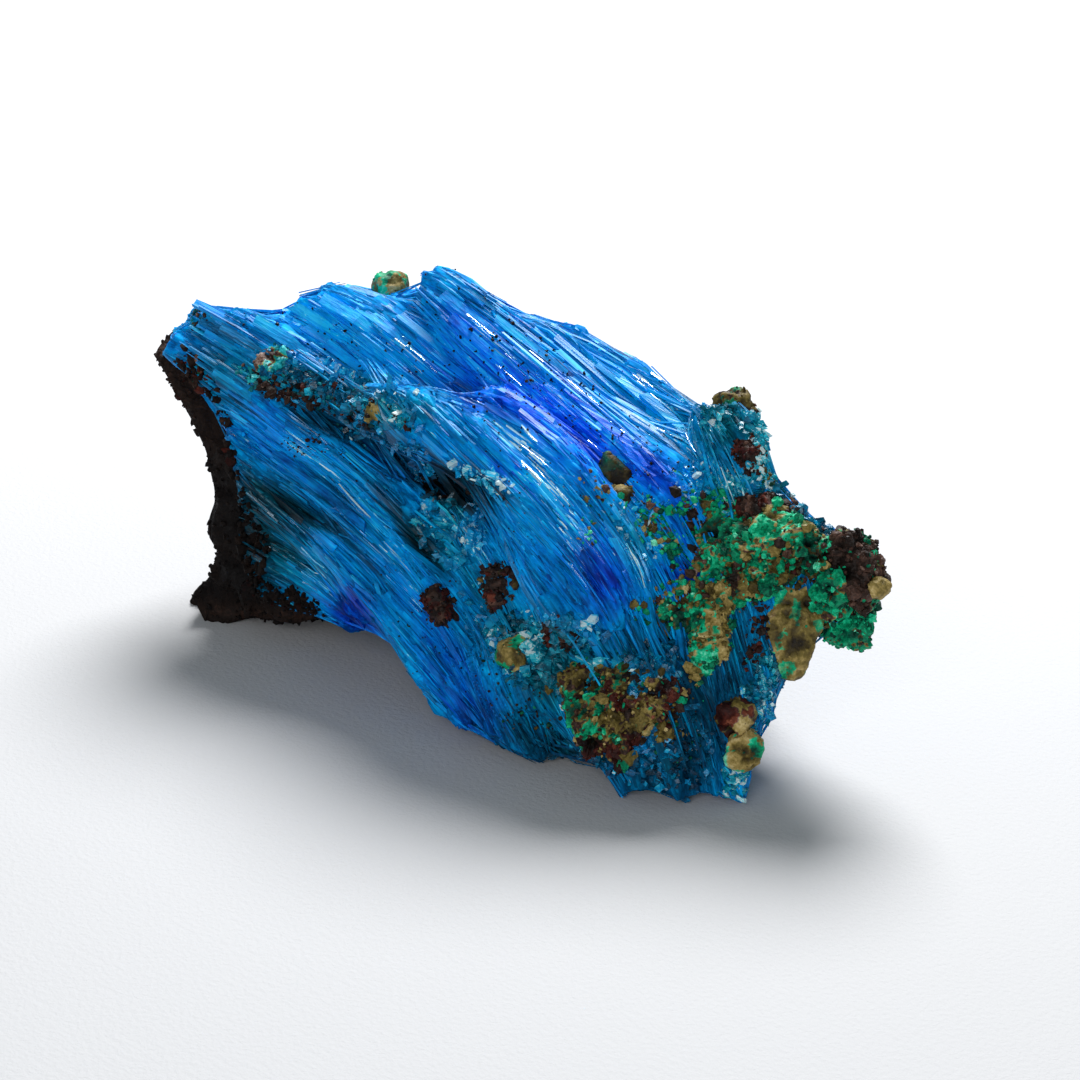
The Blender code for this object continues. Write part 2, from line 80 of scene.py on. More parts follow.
# Sheaves of fibres as in the CAD: route points (across, up, y), half widths and half depths
SHEAVES = {
    "core": (
        [(-20.5, 4.5, -2.5), (-12.5, 4.0, 0), (-4.0, 0.5, 0), (5.0, -4.5, -1), (13.0, -6.5, 1)],
        (6.2, 6.8, 7.4, 7.6, 6.0),
        (4.4, 6.4, 7.8, 8.0, 6.0),
    ),
    "upper_core": (
        [(-19.0, 11.0, -1), (-11.0, 9.5, 1), (-3.0, 6.5, 2), (5.0, 2.5, 1.5), (12.0, -1.0, 1)],
        (3.6, 5.0, 6.6, 7.0, 6.0),
        (4.4, 5.0, 5.6, 5.6, 5.0),
    ),
    "left_shoulder": (
        [(-25.2, 13.2, -4.5), (-19.5, 11.5, -3), (-13.5, 7.5, -3), (-9.0, 3.0, -4)],
        (2.4, 4.8, 4.8, 3.5),
        (3.0, 5.0, 5.0, 3.5),
    ),
    "left_knob": (
        [(-23.9, 15.1, -5), (-18.0, 13.4, -2), (-12.0, 10.0, -1)],
        (1.5, 2.7, 2.6),
        (2.0, 4.0, 4.0),
    ),
    "top_left": (
        [(-16.8, 15.6, 0), (-11.0, 12.8, 1), (-5.0, 7.5, 1), (0.5, 0.0, -2), (2.5, -5.5, -4)],
        (2.6, 3.8, 4.2, 3.6, 3.0),
        (3.0, 4.5, 5.0, 4.5, 3.5),
    ),
    "top_left_rear": (
        [(-15.0, 17.0, 4), (-9.5, 14.7, 5), (-3.0, 10.5, 5)],
        (1.4, 2.6, 3.2),
        (2.5, 3.5, 4.0),
    ),
    "crest": (
        [(-7.2, 17.4, 4), (-2.5, 13.2, 4), (2.5, 8.0, 3), (6.0, 2.0, 0), (8.0, -4.0, -3)],
        (2.1, 3.3, 4.0, 4.0, 3.4),
        (2.6, 4.0, 4.5, 4.5, 4.0),
    ),
    "flap": (
        [(1.4, 14.0, 6), (6.1, 9.3, 6), (10.4, 4.4, 5), (14.0, -1.0, 3)],
        (1.7, 3.1, 3.9, 3.8),
        (1.6, 3.5, 4.5, 4.5),
    ),
    "upper_right": (
        [(12.4, 8.6, 5), (14.0, 4.9, 4), (15.2, 0.0, 3)],
        (2.1, 2.6, 3.0),
        (2.5, 3.5, 4.0),
    ),
    "right_tip": (
        [(14.0, 0.0, 3), (18.0, -1.6, 3), (21.8, -4.0, 3)],
        (2.8, 3.0, 1.8),
        (4.4, 4.0, 2.4),
    ),
    "right_under": (
        [(17.5, -3.0, 3), (16.8, -7.2, 2), (15.2, -11.0, 0)],
        (3.2, 2.7, 1.8),
        (4.0, 3.4, 2.4),
    ),
    "ledge": (
        [(-12.8, 9.0, -5), (-9.0, 8.5, -6), (-4.5, 7.0, -6), (-1.0, 3.5, -6)],
        (1.0, 1.8, 2.2, 2.4),
        (1.5, 2.2, 2.6, 2.6),
    ),
    "front_central": (
        [(-4.0, 8.5, -3), (0.0, 3.6, -5), (3.0, -1.6, -6), (4.8, -6.5, -7)],
        (2.6, 3.6, 4.0, 3.6),
        (2.8, 3.8, 3.8, 3.4),
    ),
    "long_front": (
        [(-22.4, 7.6, -6), (-16.5, 3.2, -7), (-11.0, -2.2, -8), (-6.4, -8.4, -9), (-3.6, -12.2, -9)],
        (2.4, 2.8, 2.9, 2.7, 2.0),
        (2.4, 3.0, 3.0, 3.0, 2.0),
    ),
    "lower_fan": (
        [(-21.0, 0.8, -5), (-16.5, -0.8, -6), (-13.3, -3.4, -7), (-12.2, -5.0, -7.5)],
        (3.0, 3.0, 2.2, 1.5),
        (3.0, 3.0, 2.0, 1.4),
    ),
    "hollow_floor": (
        [(-14.0, 6.0, -4), (-8.5, 2.6, -5), (-5.0, -2.5, -6), (-2.6, -8.6, -7)],
        (2.8, 3.4, 3.4, 3.2),
        (2.6, 3.2, 3.4, 3.4),
    ),
    "crumbly_front": (
        [(-3.0, -7.0, -7), (0.0, -9.5, -8), (3.0, -11.5, -7)],
        (3.4, 4.0, 3.6),
        (3.0, 3.4, 3.2),
    ),
    "near_bottom": (
        [(3.0, -8.0, -5), (7.4, -12.0, -5.5), (10.2, -17.6, -6)],
        (4.5, 5.2, 4.2),
        (4.6, 5.0, 3.4),
    ),
    "near_right": (
        [(11.0, -3.0, 0), (14.0, -7.0, 0), (14.0, -12.0, -2), (13.2, -18.2, -5)],
        (4.4, 3.2, 2.3, 1.5),
        (5.0, 4.6, 4.0, 2.0),
    ),
    "back_top": (
        [(-13.0, 15.0, 7.5), (-5.5, 11.0, 8), (2.0, 6.5, 8), (8.5, 2.0, 7.5), (13.5, -2.0, 6)],
        (2.2, 3.4, 3.8, 3.8, 3.2),
        (2.0, 2.4, 2.6, 2.6, 2.4),
    ),
    "back_low": (
        [(-16.0, 6.5, 4), (-8.0, 4.5, 6.5), (0.0, 1.0, 7.5), (8.0, -3.5, 6.5), (13.0, -6.5, 5)],
        (4.2, 4.8, 4.8, 4.8, 4.0),
        (3.0, 3.2, 3.2, 3.2, 3.0),
    ),
    "back_foot": (
        [(6.0, -3.0, 5), (7.0, -7.0, 4), (6.5, -11.0, 2)],
        (4.4, 4.2, 3.2),
        (4.0, 3.6, 3.0),
    ),
}

# Lines that the fibres follow in the plane of length and height, as (x, z) points from the top down,
# and how far apart the lines lie, counted from the first one
FLOW_LINES = (
    [(-34, 29.6), (-24, 28.4), (-16, 26.8), (-10.7, 25.2), (-4.2, 22.6), (3.5, 19.2), (10.7, 15.4),
     (15.8, 11.8), (19.5, 7.5), (22.5, 2.0), (24.5, -3.0)],
    [(-34, 20.6), (-22, 18.4), (-13.2, 15.9), (-5.8, 13.1), (1.6, 9.8), (7.0, 5.6), (11.0, 0.5),
     (14.0, -5.0)],
    [(-34, 14.8), (-23.5, 14.0), (-13.6, 12.2), (-4.8, 9.0), (2.5, 4.7), (6.2, 1.8), (10.0, -3.0)],
    [(-34, 6.0), (-22.8, 6.7), (-14.8, 7.1), (-9.1, 6.0), (-7.1, 5.1), (-3.0, 1.5), (0.0, -3.0)],
)
FLOW_OFFSETS = (0.0, 9.5, 13.0, 18.5)
# The stretch of x that the lines are worked out for, and how wavy they are, as (size of waves, amount)
FLOW_SPAN = (-34, 32)
FLOW_WAVER = ((7.0, 0.55), (3.0, 0.16))

# Steps of the broken surface: length and width of the slabs, and how far they stand out. Body and fibres
# lie lower by the sink, so that the highest slabs don't swell the outline
SLABS = ((16.0, 3.4, 0.52), (9.0, 1.6, 0.32), (5.0, 0.75, 0.15))
SLAB_SINK = 0.1

# Outline of the crystal on the show side, clockwise from the left tip, as (across, up). The body swells
# before it is fitted to the outline. It keeps a margin to it, and what shows nearer than the reach is drawn
# out to it. A fibre may cross it by its own, smaller reach
OUTLINE = (
    (-26.8, 12.9), (-26.0, 14.8), (-24.9, 15.3), (-24.6, 16.4), (-23.9, 16.9), (-22.5, 16.3), (-21.5, 15.9),
    (-21.0, 16.6), (-18.4, 15.4), (-18.1, 16.0), (-17.0, 17.4), (-15.7, 17.3), (-15.3, 18.1), (-13.7, 17.9),
    (-11.8, 17.2), (-8.9, 17.4), (-8.3, 18.6), (-7.5, 18.6), (-7.0, 19.3), (-4.0, 17.7), (-1.0, 15.6),
    (-0.6, 16.0), (1.5, 15.4), (2.8, 15.3), (3.5, 15.0), (3.4, 14.4), (5.3, 13.6), (7.4, 12.8), (8.8, 11.2),
    (10.2, 9.8), (11.8, 9.4), (12.6, 9.5), (15.2, 9.7), (15.8, 7.3), (15.6, 5.7), (15.8, 4.7), (16.4, 3.9),
    (17.3, 3.1), (18.2, 2.2), (19.0, 1.4), (20.8, 0.7), (22.4, 0.2), (23.0, -1.5), (23.0, -4.3), (22.0, -6.2),
    (19.8, -6.1),
    (18.6, -8.6), (17.2, -9.7), (16.5, -10.8), (16.3, -12.5), (15.4, -13.2), (14.8, -16.1), (14.4, -18.5),
    (11.7, -17.8), (9.9, -18.4), (6.9, -17.4), (5.5, -18.6), (5.1, -16.8), (3.2, -15.4), (1.4, -16.5),
    (-0.7, -15.8), (-2.7, -14.4), (-4.2, -13.7), (-7.6, -12.3), (-8.5, -10.5), (-10.0, -7.7), (-11.4, -5.4),
    (-11.6, -6.0), (-13.4, -6.7), (-14.6, -5.5), (-17.5, -5.0), (-20.3, -4.0), (-21.4, 0.0), (-21.4, 4.0),
    (-22.2, 8.0), (-24.2, 10.8),
)
SWELLING = 0.35
CRYSTAL_MARGIN = 0.25
OUTLINE_REACH = 2.0
FIBRE_REACH = 0.12

# Outline of the wall rock on the show side, clockwise from the left tip
ROCK_OUTLINE = (
    (-27.1, 12.9), (-26.3, 14.6), (-24.5, 15.8), (-10.0, 14.0), (-10.0, -5.4), (-15.7, -5.6), (-17.3, -6.0),
    (-20.1, -5.5), (-22.7, -6.2), (-24.6, -5.8), (-24.9, -4.6), (-24.3, -3.4), (-23.4, -2.5), (-22.6, -0.8),
    (-23.6, 0.4), (-23.0, 2.7), (-23.0, 4.0), (-23.5, 6.3), (-24.5, 8.4), (-25.9, 10.9),
)

# Hollows on the show side: (across, up), radii, degrees turned, depth
HOLLOWS = (
    ((-5.6, 3.5), (2.5, 1.0), -8, 3.2),
    ((-10.6, 5.6), (3.4, 1.0), -30, 2.0),
    ((-15.6, 8.4), (2.8, 0.7), -24, 1.4),
    ((-7.0, 0.8), (1.9, 2.4), 20, 1.2),
    ((-3.6, -4.6), (1.2, 3.0), 35, 0.8),
    ((-9.2, 0.4), (3.8, 0.6), -50, 1.0),
    ((-5.6, -5.6), (3.0, 0.6), -56, 0.8),
    ((-16.4, 2.4), (4.0, 0.55), -32, 0.9),
    ((-12.6, -2.4), (2.6, 0.55), -50, 0.9),
    ((-1.6, 8.0), (4.0, 0.4), -44, 0.6),
    ((4.6, 11.2), (3.4, 0.45), -40, 0.7),
    ((8.1, -6.4), (1.5, 1.3), 0, 1.6),
    ((19.2, -1.5), (1.3, 1.5), 0, 1.2),
    ((0.5, -13.6), (2.6, 1.0), -20, 1.2),
    ((18.1, -5.8), (1.9, 3.4), -12, 1.2),
    ((11.5, 1.0), (3.2, 1.8), 0, 0.6),
    ((5.0, 4.4), (1.7, 1.4), 0, 0.6),
    ((14.0, -13.6), (1.2, 2.2), 0, 0.5),
    ((-20.8, -1.0), (1.6, 3.8), 10, 0.9),
)
# How ragged their edges are, as (size of the notches, amount)
HOLLOW_NOTCHES = ((1.2, 0.30), (0.5, 0.15))

# Crumbly places without fibres on the show side: (across, up), radii, degrees turned
BARE = (
    ((2.4, -8.6), (6.2, 2.3), -18),
    ((-6.5, 0.8), (2.0, 2.4), 20),
    ((-5.6, 3.6), (2.8, 1.1), -8),
    ((-14.6, 10.3), (5.6, 1.2), -20),
    ((-10.6, 6.0), (2.8, 0.8), -28),
    ((11.2, 1.0), (3.6, 1.9), 0),
    ((16.1, -0.4), (3.0, 2.6), -30),
    ((9.8, -4.2), (2.6, 1.0), 22),
    ((5.6, -11.2), (3.8, 2.4), -15),
    ((-21.0, -1.0), (2.0, 4.0), 10),
    ((12.4, 8.8), (2.0, 0.8), -10),
    ((18.0, -5.8), (1.8, 3.4), -12),
    ((-2.8, -3.1), (1.2, 1.1), 0),
    ((-7.0, -4.5), (1.0, 0.7), -20),
    ((8.6, -14.6), (4.6, 3.0), -8),
)
BARE_NOTCHES = ((1.4, 0.22), (0.6, 0.12))

# Patches of other colour, painted shade and painted light on the show side: (across, up), radii, degrees
# turned, change of hue and of tone
# (hue 0 ultramarine, 0.5 azure, 1 teal; tone 0 dark, 1 pale)
COLOUR_AND_SHADING_PATCHES = (
    # Crest: ultramarine, deepest along its middle, and paler where it is lit through: painted light
    ((-5.0, 14.4), (4.0, 2.4), -40, -0.06, 0.12),
    ((-3.0, 12.2), (5.0, 2.0), -42, -0.20, 0.06),
    ((2.0, 8.0), (6.0, 2.4), -45, -0.34, 0.10),
    ((8.0, 3.6), (3.6, 2.2), -50, -0.34, 0.02),
    ((-4.9, 10.5), (2.4, 1.0), -40, -0.30, -0.10),
    ((-1.6, 9.2), (1.8, 0.8), -40, -0.20, -0.08),
    ((3.5, 7.0), (2.6, 0.8), -48, -0.22, -0.08),
    ((7.7, 5.4), (2.2, 0.9), -50, -0.25, -0.10),
    # Flap and right sheaf: azure to cyan
    ((3.6, 13.4), (4.0, 1.6), -30, 0.00, 0.08),
    ((7.0, 9.6), (4.4, 2.0), -42, 0.02, 0.08),
    ((10.4, 6.6), (2.4, 2.4), 0, 0.10, 0.02),
    ((12.8, 8.0), (1.8, 2.2), -50, 0.40, -0.20),
    ((15.5, 7.0), (0.8, 2.8), 0, 0.50, 0.24),
    ((13.6, 3.6), (2.2, 2.2), 0, 0.34, 0.02),
    # Central sheaf: cyan with a deep edge at its lower end
    ((-1.0, 5.2), (2.2, 1.6), -50, 0.02, 0.14),
    ((1.0, 2.0), (3.4, 1.6), -62, 0.06, 0.12),
    ((2.6, -2.2), (3.4, 1.8), -66, -0.10, -0.18),
    ((4.4, -2.0), (2.6, 1.6), -70, -0.35, -0.14),
    ((-2.3, 4.9), (1.2, 1.0), 0, -0.45, -0.22),
    ((7.0, 1.2), (2.2, 2.6), 0, 0.30, 0.04),
    ((10.2, -2.2), (1.9, 0.8), 0, -0.50, -0.25),
    ((9.4, -6.6), (1.2, 0.9), 0, 0.00, -0.30),
    # Top left: smooth azure, teal at the left knob, crumbly teal band below
    ((-16.0, 15.6), (4.6, 1.8), -14, 0.00, 0.12),
    ((-12.4, 13.6), (5.0, 2.2), -25, -0.02, 0.12),
    ((-22.6, 14.2), (2.6, 1.6), -20, 0.06, -0.06),
    ((-22.4, 11.2), (2.4, 2.0), 0, 0.20, -0.08),
    ((-15.0, 10.6), (5.6, 1.4), -20, 0.34, -0.14),
    ((-9.6, 9.4), (2.6, 1.4), -25, 0.22, 0.00),
    ((-18.6, 7.6), (2.0, 2.8), -30, -0.10, 0.00),
    # Hollow, cavity and pit, darker as painted shade in these recesses
    ((-10.6, 6.6), (4.2, 1.4), -30, 0.14, -0.30),
    ((-9.4, 5.0), (3.0, 0.8), -24, -0.20, -0.20),
    ((-15.6, 8.4), (2.8, 0.8), -24, 0.20, -0.36),
    ((-10.4, 8.6), (2.0, 0.7), -20, 0.22, 0.20),
    ((-5.6, 3.5), (2.9, 1.2), -8, 0.40, -0.70),
    ((-6.6, 0.7), (2.2, 2.6), 20, 0.26, 0.02),
    ((-8.2, -0.8), (0.8, 2.4), 30, 0.20, -0.30),
    ((-3.8, -3.0), (1.4, 2.6), 30, 0.20, -0.06),
    # Long front sheaf: cyan along its upper edge, deeper blue below, darkest in the grooves along its lower
    # edge as painted shade
    ((-14.6, 4.8), (4.2, 0.7), -38, 0.10, 0.12),
    ((-10.2, -0.6), (5.0, 0.7), -52, 0.04, 0.14),
    ((-14.8, 3.4), (3.6, 0.8), -36, 0.00, -0.16),
    ((-12.2, -0.6), (5.0, 1.2), -46, -0.08, -0.12),
    ((-9.2, 0.8), (3.8, 0.6), -50, 0.20, -0.32),
    ((-16.6, 2.0), (4.4, 0.6), -32, 0.24, -0.32),
    ((-18.2, -0.6), (3.0, 0.4), -34, 0.20, -0.26),
    ((-6.6, -8.4), (3.6, 1.6), -58, -0.16, -0.14),
    ((-4.6, -12.4), (2.4, 1.6), -40, -0.24, -0.16),
    ((-20.4, -1.0), (2.2, 4.6), 10, 0.30, -0.36),
    ((-12.9, -4.9), (1.9, 1.5), -30, -0.60, -0.30),
    # Lower fan: dark teal arcs, partly painted shade under the long front sheaf, an azure lobe at its bottom
    ((-19.0, 2.4), (3.6, 2.4), -25, 0.36, -0.22),
    ((-17.4, -1.6), (2.8, 1.6), -30, 0.22, 0.02),
    ((-13.6, -3.6), (2.0, 1.2), -20, 0.10, 0.02),
    # Sugary zone, and the near end darker, partly its own deep colour and partly painted shade on its low
    # faces and in its hollows
    ((2.4, -8.6), (6.4, 2.6), -20, 0.40, -0.20),
    ((-0.6, -11.0), (2.6, 2.0), -30, 0.22, -0.16),
    ((11.4, -11.6), (3.4, 4.4), 0, 0.22, -0.34),
    ((7.7, -16.0), (4.4, 2.4), -10, 0.22, -0.30),
    ((7.0, -7.4), (2.6, 1.6), 0, 0.16, -0.16),
    ((13.6, -6.4), (2.0, 3.4), 0, 0.22, -0.18),
    ((0.5, -14.5), (4.0, 1.6), -20, 0.30, -0.34),
    ((17.6, -7.0), (2.2, 3.6), -12, 0.40, -0.16),
)
PATCH_NOTCHES = ((2.4, 0.5), (0.9, 0.2))
# The hue and tone that they change
CRYSTAL_HUE = 0.5
CRYSTAL_TONE = 0.60

# Cross-sections of a bundle and of a single fibre, in half widths and half thicknesses
FLAT = ((-1, -1), (1, -1), (1, 1), (-1, 1))
THREE_SIDED = ((-1, -0.7), (1, -0.7), (0, 1))

# A laid fibre: its rings of points, how much it cuts across bends of the body, how deep an end dips into
# the body, how much narrower such an end is, and how slantwise ends are cut
FIBRE_RINGS = 4
STRAIGHTENED = 0.25
END_DIP = 0.12
END_NARROWING = 0.45
END_SLANT = 0.5

# Fine fibres in rows, made paler as painted glints: the line they lie on, half breadth, count, change of tone
STREAKS = (
    ([(-2.2, 8.0), (-0.6, 5.6), (1.2, 2.4), (2.6, -0.6), (3.2, -2.8)], 0.55, 90, 0.34),
    ([(0.4, 5.2), (2.2, 1.6), (3.6, -1.6)], 0.8, 60, 0.26),
    ([(0.6, 12.6), (2.6, 10.4), (4.9, 7.4), (7.6, 4.8)], 0.9, 30, 0.10),
    ([(-4.4, 15.6), (-1.6, 12.0), (1.2, 9.4)], 0.5, 24, 0.12),
    ([(-11.6, 15.0), (-7.6, 12.4), (-4.2, 9.0)], 0.6, 40, 0.20),
    ([(-17.6, 7.2), (-15.0, 4.8), (-12.2, 1.6), (-9.6, -2.2), (-7.8, -5.6)], 0.55, 110, 0.28),
    ([(-14.4, 2.4), (-11.0, -1.4), (-8.4, -5.8)], 0.5, 40, 0.18),
    ([(6.8, 11.4), (9.4, 8.4), (11.8, 5.6)], 1.3, 120, 0.22),
    ([(12.2, 8.2), (13.2, 5.6), (13.8, 2.8)], 0.9, 60, 0.34),
    ([(-20.4, 3.0), (-17.2, 1.2), (-14.8, -1.6)], 0.9, 50, 0.20),
    ([(-18.4, -0.6), (-16.0, -2.2), (-14.4, -4.2)], 0.6, 40, 0.24),
    ([(-23.6, 8.6), (-20.6, 6.6)], 0.4, 16, 0.30),
    ([(-5.8, 1.6), (-4.2, -0.8), (-2.8, -4.6)], 0.7, 50, 0.24),
    ([(4.8, 3.0), (6.4, -0.4), (7.8, -3.4)], 0.9, 50, 0.28),
)

# Blunt blocks at the broken ends: (across, up), length, width, thickness
BLOCKS = (
    ((-23.6, 15.4), 4.0, 0.9, 0.8), ((-22.2, 14.6), 5.0, 0.7, 0.6), ((-19.6, 15.0), 5.0, 0.9, 0.7),
    ((-20.6, 13.2), 5.0, 0.6, 0.6), ((-17.2, 16.4), 5.0, 0.8, 0.7), ((-15.2, 16.8), 6.0, 0.9, 0.8),
    ((-16.6, 15.0), 6.5, 0.7, 0.6), ((-13.0, 16.4), 6.0, 0.7, 0.6), ((-9.8, 15.4), 5.0, 0.6, 0.6),
    ((-14.8, 13.6), 6.0, 0.7, 0.6), ((-7.2, 17.8), 6.0, 0.8, 0.7), ((-6.4, 16.8), 7.0, 0.7, 0.6),
    ((-6.0, 15.4), 7.0, 0.6, 0.6), ((0.4, 15.0), 4.5, 0.9, 0.9), ((1.2, 13.8), 5.0, 0.7, 0.7),
    ((-11.0, 8.6), 3.2, 1.3, 0.9), ((-10.2, 8.0), 2.8, 1.0, 0.8), ((-8.2, 7.4), 3.4, 0.8, 0.7),
    ((-17.6, 8.0), 2.4, 0.5, 0.6), ((-14.2, -4.0), 2.6, 0.9, 0.6), ((-15.8, -3.4), 3.0, 0.8, 0.5),
)

# Grains and small crystals on the show side: (across, up), radii, degrees turned, count, smallest and
# largest half size, hues to choose from, tone. First the crusts and the rock, by the node they belong to
GREEN_HUES = (0.0, 0.0, 0.0, 0.0, 0.0, 0.33, 0.6)
MIXED_HUES = (0.0, 0.0, 0.0, 0.33, 0.33, 0.67, 1.0)
OCHRE_HUES = (0.0, 0.33, 0.33, 0.33, 0.67)
BROWN_HUES = (0.67, 0.67, 0.67, 1.0, 0.33)
RED_HUES = (0.67, 1.0, 1.0, 0.67)
ROCK_HUES = (0.67, 0.67, 0.67, 0.67, 0.67, 0.95)
GRAIN_ZONES = {
    "green_crust": (
        ((11.2, 1.0), (4.0, 2.2), 0, 620, 0.08, 0.34, GREEN_HUES, 0.62),
        ((11.6, -0.8), (3.0, 1.6), 0, 300, 0.08, 0.32, GREEN_HUES, 0.54),
        ((17.6, -2.2), (1.6, 0.9), -10, 120, 0.08, 0.30, MIXED_HUES, 0.30),
        ((16.8, 3.5), (2.0, 0.35), -44, 90, 0.07, 0.26, MIXED_HUES, 0.34),
        ((16.1, -0.4), (3.2, 2.8), -30, 480, 0.08, 0.36, MIXED_HUES, 0.45),
        ((7.4, 2.0), (1.8, 1.2), 0, 60, 0.06, 0.22, GREEN_HUES, 0.60),
        ((4.4, 3.6), (2.6, 1.2), -10, 46, 0.06, 0.26, OCHRE_HUES, 0.52),
        ((3.8, 1.0), (1.2, 1.6), 0, 30, 0.05, 0.18, GREEN_HUES, 0.58),
        ((14.7, 5.8), (1.2, 1.4), 0, 90, 0.07, 0.26, RED_HUES, 0.36),
        ((16.9, 4.2), (1.2, 1.2), 0, 60, 0.06, 0.22, MIXED_HUES, 0.34),
    ),
    "tip_crust": (
        ((21.3, -4.4), (2.0, 1.8), 0, 240, 0.08, 0.34, GREEN_HUES, 0.46),
        ((22.0, -1.0), (1.5, 2.2), 20, 220, 0.08, 0.30, BROWN_HUES + (0.0, 0.0, 0.0, 0.0), 0.40),
        ((19.0, -1.2), (1.6, 1.6), 0, 120, 0.08, 0.30, MIXED_HUES, 0.32),
    ),
    "ridge_crust": (
        ((9.8, -4.2), (3.2, 1.4), 22, 300, 0.08, 0.36, OCHRE_HUES + (0.0, 0.0), 0.54),
        ((11.3, -7.2), (1.0, 3.4), -10, 190, 0.08, 0.34, OCHRE_HUES, 0.52),
        ((8.4, -6.3), (1.6, 1.0), 0, 90, 0.08, 0.26, (0.0,), 0.28),
        ((14.6, -3.0), (1.2, 1.8), 0, 110, 0.08, 0.28, MIXED_HUES, 0.36),
        ((15.3, -6.6), (0.8, 2.4), -10, 90, 0.07, 0.26, RED_HUES, 0.34),
    ),
    "lower_crust": (
        ((5.6, -11.2), (4.2, 2.7), -15, 620, 0.08, 0.42, BROWN_HUES + (0.33, 0.33, 0.0), 0.44),
        ((4.2, -9.8), (2.6, 1.4), -10, 150, 0.06, 0.24, GREEN_HUES, 0.66),
        ((1.4, -7.0), (1.2, 1.4), 0, 120, 0.07, 0.30, RED_HUES, 0.34),
        ((-2.8, -3.1), (1.5, 1.3), 0, 120, 0.07, 0.32, BROWN_HUES, 0.34),
        ((-7.0, -4.5), (1.2, 0.9), -20, 80, 0.06, 0.26, RED_HUES, 0.34),
        ((-0.4, -12.4), (2.2, 1.4), -20, 50, 0.06, 0.20, MIXED_HUES, 0.30),
        ((9.0, -13.0), (3.0, 2.6), 0, 60, 0.05, 0.20, MIXED_HUES, 0.34),
    ),
    "wall_rock": (
        ((-21.4, -0.6), (2.2, 4.4), 12, 900, 0.10, 0.40, ROCK_HUES, 0.04),
        ((-19.0, -4.4), (3.6, 1.2), 0, 300, 0.10, 0.36, ROCK_HUES, 0.06),
        ((-23.2, 8.6), (1.3, 3.4), 24, 320, 0.08, 0.36, ROCK_HUES, 0.26),
        ((-22.3, 5.6), (1.2, 2.6), 14, 240, 0.08, 0.36, ROCK_HUES, 0.10),
        ((-24.4, 11.6), (1.3, 1.6), 0, 120, 0.10, 0.36, RED_HUES + (0.0,), 0.34),
        ((-5.9, 3.5), (2.4, 0.9), -8, 150, 0.07, 0.26, ROCK_HUES, 0.05),
        ((-17.8, -4.8), (2.4, 0.7), -6, 160, 0.08, 0.28, ROCK_HUES, 0.08),
    ),
    "teal_knob": (
        ((-19.4, 11.6), (1.6, 1.0), 0, 130, 0.07, 0.30, (-0.33, -0.33, -0.33, 0.67), 0.58),
        ((-17.6, 10.2), (2.6, 0.8), -25, 170, 0.07, 0.32, RED_HUES, 0.26),
        ((-14.2, 9.8), (5.6, 1.2), -20, 300, 0.05, 0.24, RED_HUES + (-0.33, -0.33), 0.32),
        ((-23.4, 15.4), (1.2, 0.8), 0, 50, 0.06, 0.22, (-0.33, 0.67), 0.40),
        ((-23.2, -1.2), (0.3, 0.4), 0, 16, 0.08, 0.22, (-0.33,), 0.70),
        ((-16.8, 6.6), (1.0, 1.4), -60, 40, 0.05, 0.16, RED_HUES, 0.30),
        ((-12.8, 4.9), (4.0, 0.6), -35, 40, 0.04, 0.14, RED_HUES, 0.26),
        ((-2.0, 12.0), (9.0, 4.4), -35, 230, 0.06, 0.14, ROCK_HUES, 0.04),
        ((-15.0, 14.0), (7.0, 2.4), -15, 90, 0.06, 0.14, ROCK_HUES, 0.04),
        ((6.0, 8.0), (6.0, 3.4), -42, 170, 0.05, 0.12, ROCK_HUES, 0.04),
        ((-1.0, 4.0), (4.0, 6.0), 0, 80, 0.04, 0.09, ROCK_HUES, 0.06),
        ((-8.0, -6.0), (6.0, 3.4), -50, 90, 0.045, 0.11, MIXED_HUES, 0.10),
        ((-1.5, -10.0), (3.4, 3.4), 0, 90, 0.05, 0.14, MIXED_HUES, 0.14),
    ),
}

